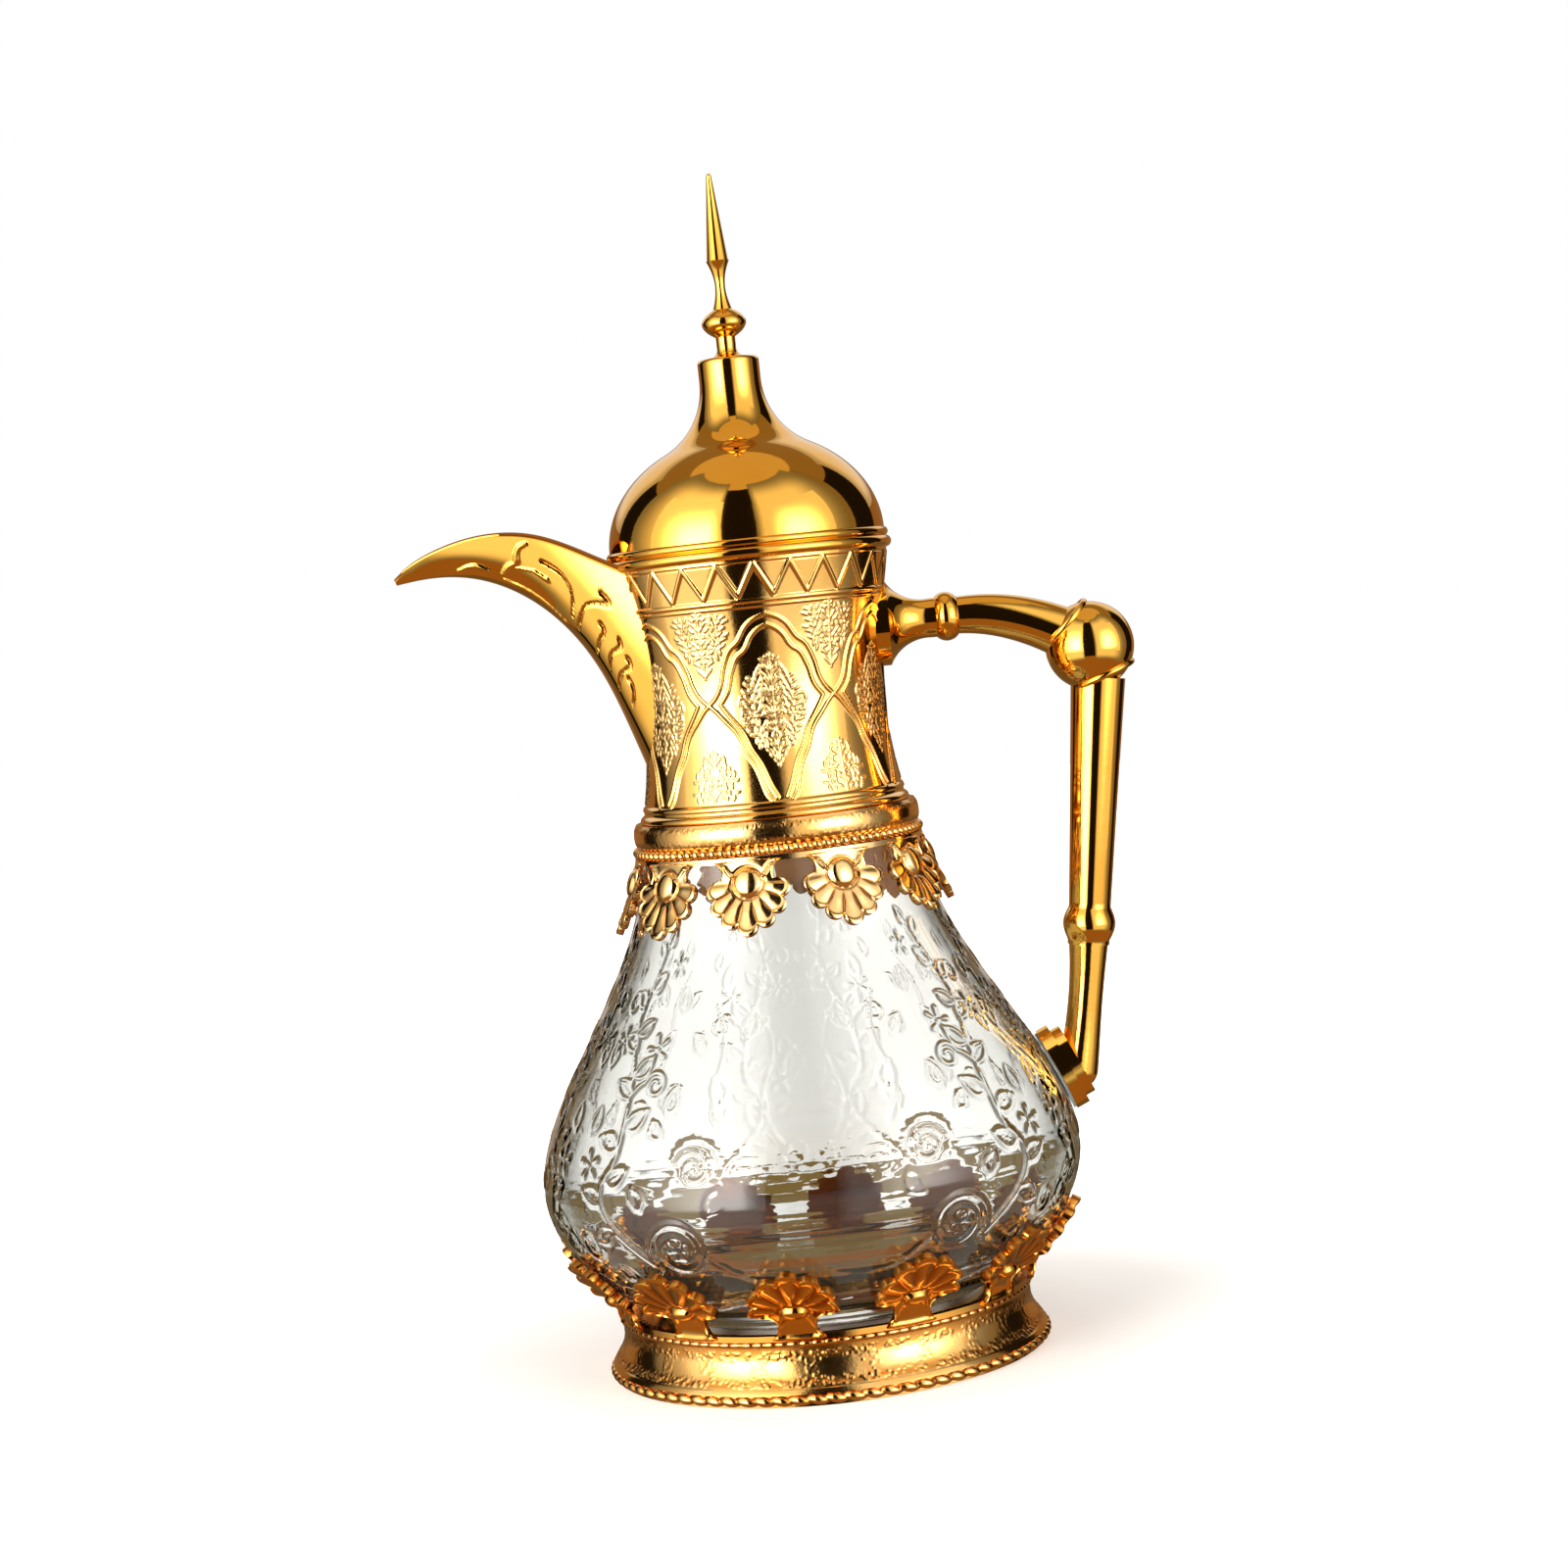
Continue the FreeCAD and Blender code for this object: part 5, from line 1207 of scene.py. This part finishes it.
def finial():
    top = LID_TOP
    bead_low, bead_high = top + 5.6, top + 13.0
    mid = (bead_low + bead_high) / 2
    waist, ring = bead_high + 5.0, bead_high + 13.0
    tip = ring + 23.4
    bead = [(2.6, bead_low), (5.16, mid - 1.78), (6.0, mid), (4.8, mid + 2.22), (2.6, bead_high)]
    stem = [(2.6, bead_high), (1.4, waist), (2.23, ring - 2.0), (3.1, ring)]
    profile = run(
        [(0, top - 7.5), (2.0, top - 7.5), (2.0, top)],
        bow((5.3, top), (3.1, top + 1.23), (2.6, top + 3.36), 12),
        [(2.6, bead_low)],
        smooth(bead, 26),
        smooth(stem, 22),
        [(2.91, ring + 0.4), (0.7, tip - 0.7)],
        bow((0.7, tip - 0.7), (0.495, tip - 0.205), (0, tip), 7),
    )
    profile[-1, 0] = 0.0
    return solid_turned(profile, 96)


add_piece("lid_dome_polished", lid_dome(), polished, "lid_dome", "lid")
add_piece("lid_collar_turned", lid_collar(), polished, "lid_collar", "lid")
add_piece("finial_turned", finial(), polished, "finial", "lid")


# Handle: cast pieces from the bracket on the neck to the saddle on the glass
NECK_WALL = float(sleeve_radius(BRACKET_Z))
BRACKET_END = NECK_WALL + 20.6
ELBOW = np.array([NECK_WALL + 55.4, 0, BRACKET_Z - 11.9])
ELBOW_RADIUS = 11.99
LEAN = math.radians(7.7)
GRIP_DOWN = np.array([-math.sin(LEAN), 0, -math.cos(LEAN)])
GRIP_LENGTH = 70.0
GRIP_TOP = ELBOW + (2.6, 0, 0)
GRIP_FOOT = GRIP_TOP + GRIP_DOWN * GRIP_LENGTH
FLARE_RADIUS = 11.6
STEM_RADIUS = 5.3
FERRULE_LENGTH = 11.4
FERRULE_BORE, FERRULE_RADIUS = 3.05, 5.7


def handle_bracket():
    wall, stem = NECK_WALL, NECK_WALL + 14.6
    edge = wall + 1.6
    back = wall - 6.0
    flank = bow((FLARE_RADIUS, edge), (5.3 + 6.3 * 0.3, edge + 13.0 * 0.3), (STEM_RADIUS, stem - 1.5), 25)
    bead = bow((STEM_RADIUS, stem), (6.6, (stem + BRACKET_END) / 2), (5.0, BRACKET_END), 17)
    skirt = np.linspace((FLARE_RADIUS, back), (FLARE_RADIUS, edge), 20)
    profile = run([(0, back), (6.0, back)], skirt, flank, bead, [(0, BRACKET_END)])
    points, faces, tooling_and_shade = placed(solid_turned(profile), (0, 0, BRACKET_Z), (1, 0, 0))
    return pushed_out(points, sleeve_radius(points[:, 2]) - SLEEVE_WALL / 2), faces, tooling_and_shade


def bezier(start, middle, end, count):
    t = np.linspace(0, 1, count)[:, None]
    return np.asarray(start) * (1 - t) ** 2 + np.asarray(middle) * 2 * t * (1 - t) + np.asarray(end) * t**2


def radii_along(radii, count):
    spots = np.stack([np.linspace(0, 1, len(radii)), radii], -1)
    return smooth(spots, count)[:, 1]


def handle_arm():
    start = np.array([BRACKET_END, 0, BRACKET_Z])
    path = bezier(start, start + (17.5, 0, 0), ELBOW, 48)
    return swept(path[:42], radii_along((5.0, 5.3, 5.9, 6.6, 7.4), 48)[:42])


def torus(ring, tube):
    turn = np.linspace(0, math.tau, 24, endpoint=False)
    return turned(np.stack([ring + tube * np.cos(turn), tube * np.sin(turn)], -1), 96)


def handle_elbow():
    turn = np.linspace(-math.pi / 2, math.pi / 2, 61)
    ball = np.stack([np.maximum(ELBOW_RADIUS * np.cos(turn), 0), ELBOW_RADIUS * np.sin(turn)], -1)
    ball[0, 0] = ball[-1, 0] = 0.0
    parts = [placed(solid_turned(ball), ELBOW, (0, 1, 0))]
    arm, grip = math.radians(47.0), math.radians(19.5)
    collars = (((-math.cos(arm), 0, math.sin(arm)), 7.8), ((math.sin(grip), 0, -math.cos(grip)), 8.4))
    for way, radius in collars:
        depth = math.sqrt(ELBOW_RADIUS**2 - radius**2)
        parts.append(placed(torus(radius, 0.9), ELBOW + np.array(way) * depth, way))
    return merged(*parts)


def handle_grip():
    share = np.linspace(0, 1, 40)[:, None]
    path = GRIP_TOP + GRIP_DOWN * GRIP_LENGTH * share
    radii = 7.7 - 2.0 * share[:, 0] ** 0.9
    return swept(path[5:], radii[5:])


def handle_ferrule():
    share = np.linspace(0, 1, 25)
    belly = np.stack([FERRULE_RADIUS + 1.4 * np.sin(math.pi * share), 1.2 + 9.0 * share], -1)
    foot = [(FERRULE_RADIUS, FERRULE_LENGTH), (FERRULE_BORE, FERRULE_LENGTH)]
    profile = run([(FERRULE_BORE, 0), (FERRULE_RADIUS, 0)], belly, foot)
    return placed(turned(profile, 128), GRIP_FOOT, GRIP_DOWN)


add_piece("handle_bracket_flared", handle_bracket(), polished, "handle_bracket")
add_piece("handle_arm_curved", handle_arm(), polished, "handle_arm")
add_piece("handle_elbow_ball", handle_elbow(), polished, "handle_elbow")
add_piece("handle_grip_tapered", handle_grip(), polished, "handle_grip")
add_piece("handle_ferrule_turned", handle_ferrule(), polished, "handle_ferrule")
dress(polished, "handle_leg")

# Stage: a pale floor, a dark room with two softboxes for the metal to reflect, and a backdrop for the glass
CENTRE = (0.0, 0.0, 160.0)


def glow(name, colour):
    material = bpy.data.materials.new(name)
    material.use_nodes = True
    tree = material.node_tree
    tree.nodes.clear()
    light = tree.nodes.new("ShaderNodeEmission")
    light.inputs["Color"].default_value = (*colour, 1)
    tree.links.new(value_node(tree, "glow"), light.inputs["Strength"])
    tree.links.new(light.outputs["Emission"], tree.nodes.new("ShaderNodeOutputMaterial").inputs["Surface"])
    return material


def stage_piece(name, points, faces, material):
    mesh = build_mesh(name, points, faces)
    mesh.materials.append(material)
    piece = bpy.data.objects.new(name, mesh)
    bpy.context.scene.collection.objects.link(piece)
    return piece


def patch(through, name, azimuths, elevations, distance, colour, edge, core, fades=(0, 0, 0, 0), peak=1.0):
    """A glowing part of a sphere round the pot, reflected by the metal or else seen through the glass."""
    rows, cols = 49, 65
    turn = np.linspace(*azimuths, cols)[None, :]
    rise = np.linspace(*elevations, rows)[:, None]
    share = np.ones((rows, cols))
    gaps = (turn - azimuths[0], azimuths[1] - turn, rise - elevations[0], elevations[1] - rise)
    for gap, fade in zip(gaps, fades):
        if fade:
            share = share * ease(0, fade, gap)
    a, e = np.radians(turn), np.radians(rise)
    ways = np.stack([np.cos(e) * np.sin(a), -np.cos(e) * np.cos(a), np.sin(e) + 0 * a], -1)
    spots = ways * distance + CENTRE
    faces = [grid_faces(rows, cols, close_cols=False)]
    piece = stage_piece(name, spots.reshape(-1, 3), faces, glow(name, colour))
    mark_points(piece.data, "glow", edge + (core - edge) * share**peak)
    piece.visible_camera = False
    piece.visible_transmission = through
    piece.visible_glossy = not through
    piece.visible_diffuse = not through


ALL_ROUND = (-180, 180)
SOFT_WHITE = (1.0, 0.98, 0.95)
GREY_WHITE = (1.0, 0.985, 0.94)
OLIVE = (1.0, 0.66, 0.2)
TABLE_EDGE = -12.2
# Each row: name, azimuths and elevations in degrees, distance in mm, colour, glow at the edge and in the
# core, degrees over which it fades at the four borders, and how peaked the core is
REFLECTED = (
    ("studio_room", ALL_ROUND, (-89.9, 89.9), 4000.0, (1.0, 0.75, 0.5), 0.012, 0.012),
    ("table", ALL_ROUND, (-89.9, -26), 3900.0, (1.0, 0.5, 0.18), 0.34, 0.34),
    ("table_behind", (125, 235), (-60, -10.3), 3600.0, (1.0, 0.72, 0.4), 0.17, 0.17),
    ("softbox_left", (-112, -20), (-34, 72), 3000.0, SOFT_WHITE, 0.25, 1.4, (46, 6, 12, 20)),
    ("hot_left", (-86, -20.5), (-14, 50), 2900.0, SOFT_WHITE, 1.4, 11.0, (44, 12, 12, 42), 1.5),
    ("softbox_right", (9, 96), (-34, 70), 3000.0, SOFT_WHITE, 0.25, 1.15, (8, 40, 12, 20)),
    ("hot_right", (18, 80), (-14, 44), 2900.0, SOFT_WHITE, 1.15, 8.0, (24, 34, 12, 36), 1.5),
    ("fill_right", (9, 104), (-26, 64), 3300.0, (1.0, 0.8, 0.5), 0.25, 0.25),
    ("ceiling", ALL_ROUND, (64, 89.9), 3200.0, (1.0, 0.76, 0.4), 0.7, 0.7),
    ("ceiling_behind", (100, 260), (44, 64), 3500.0, (1.0, 0.7, 0.32), 0.3, 0.3),
    ("wall_behind", (134, 226), (12, 46), 3400.0, (1.0, 1.0, 1.0), 0.5, 0.9, (12, 12, 6, 8)),
    ("wall_low", (134, 226), (-10.3, 12), 3400.0, (1.0, 0.55, 0.2), 0.3, 0.3),
)
SEEN_THROUGH = (
    ("backdrop_room", ALL_ROUND, (TABLE_EDGE, 89.9), 4400.0, (1.0, 0.8, 0.48), 0.13, 0.13),
    ("backdrop_pale", ALL_ROUND, (-50.0, TABLE_EDGE), 4400.0, (0.97, 1.0, 0.88), 0.62, 0.62),
    ("backdrop_low", (148, 212), (-50.0, TABLE_EDGE), 4350.0, OLIVE, 0.2, 0.2),
    ("backdrop_floor", ALL_ROUND, (-89.9, -50.0), 4400.0, GREY_WHITE, 0.5, 0.5),
    ("backdrop_glow", (-70, 70), (5.0, 60.0), 4350.0, (1.0, 0.55, 0.2), 0.6, 0.6),
    ("backdrop_front", (-120, 120), (TABLE_EDGE, 5.0), 4300.0, GREY_WHITE, 0.13, 0.7, (40, 40, 0, 4)),
    ("backdrop_wall", (159, 201), (TABLE_EDGE, 5.0), 4300.0, GREY_WHITE, 0.15, 1.2, (15, 15, 0.8, 4)),
    ("backdrop_band", (176.5, 183.0), (TABLE_EDGE, 3.0), 4200.0, GREY_WHITE, 1.2, 0.8, (3, 3, 0, 0)),
)
for spec in REFLECTED:
    patch(False, *spec)
for spec in SEEN_THROUGH:
    patch(True, *spec)


def pale_floor():
    """Matt white near the pot, so that it takes a shadow, and bright enough further out to have no edge."""
    material, tree, shader = new_material("floor_pale")
    shader.inputs["Roughness"].default_value = 0.9
    shader.inputs["Specular IOR Level"].default_value = 0.1
    tones = tone_node(tree, 30.0, (0.86, 0.86, 0.86), (0.9, 0.9, 0.9))
    tree.links.new(tones, shader.inputs["Base Color"])
    shader.inputs["Emission Color"].default_value = (1, 1, 1, 1)
    tree.links.new(value_node(tree, "glow"), shader.inputs["Emission Strength"])
    return material


FLOOR_LEVEL = -0.05
FLOOR_STEPS = 96
turn = full_turn(FLOOR_STEPS)
floor_rings = np.array([20.0, 70.0, 110.0, 160.0, 220.0, 300.0, 800.0, 2600.0])[:, None]
rings = len(floor_rings)
floor_points = ring_points(floor_rings + 0 * turn, np.full((rings, 1), FLOOR_LEVEL), turn).reshape(-1, 3)
floor_points = np.vstack([floor_points, [[0, 0, FLOOR_LEVEL]]])
floor_middle = fan_faces(rings * FLOOR_STEPS, np.arange(FLOOR_STEPS))
floor_faces = [grid_faces(rings, FLOOR_STEPS)[:, ::-1], floor_middle]
floor = stage_piece("floor", floor_points, floor_faces, pale_floor())
floor_glow = 0.3 + 0.7 * ease(70.0, 220.0, np.hypot(floor_points[:, 0], floor_points[:, 1]))
mark_points(floor.data, "glow", floor_glow)
floor.visible_glossy = False
floor.visible_transmission = False

world = bpy.data.worlds.new("white_world")
world.use_nodes = True
world.node_tree.nodes["Background"].inputs["Color"].default_value = (1, 1, 1, 1)
world.node_tree.nodes["Background"].inputs["Strength"].default_value = 1.0
bpy.context.scene.world = world
bpy.context.scene.view_settings.view_transform = "Standard"

# Camera: a long lens a little above the belly, tipped to the side so that the pot leans left in the picture
CAMERA_PLACE = (0, -0.850, 0.20317)
YAW, PITCH, ROLL = 0.0037, -0.0559, -0.1045
ahead = Vector((math.sin(YAW) * math.cos(PITCH), math.cos(YAW) * math.cos(PITCH), math.sin(PITCH)))
level = Vector((math.cos(YAW), -math.sin(YAW), 0))
upright = level.cross(ahead)
right = level * math.cos(ROLL) + upright * math.sin(ROLL)
above = upright * math.cos(ROLL) - level * math.sin(ROLL)
lens = bpy.data.cameras.new("camera")
lens.lens = 72.12
lens.sensor_width = 36.0
camera = bpy.data.objects.new("camera", lens)
aim = Matrix((right, above, -ahead)).transposed().to_4x4()
camera.matrix_world = Matrix.Translation(CAMERA_PLACE) @ aim
bpy.context.scene.collection.objects.link(camera)
bpy.context.scene.camera = camera
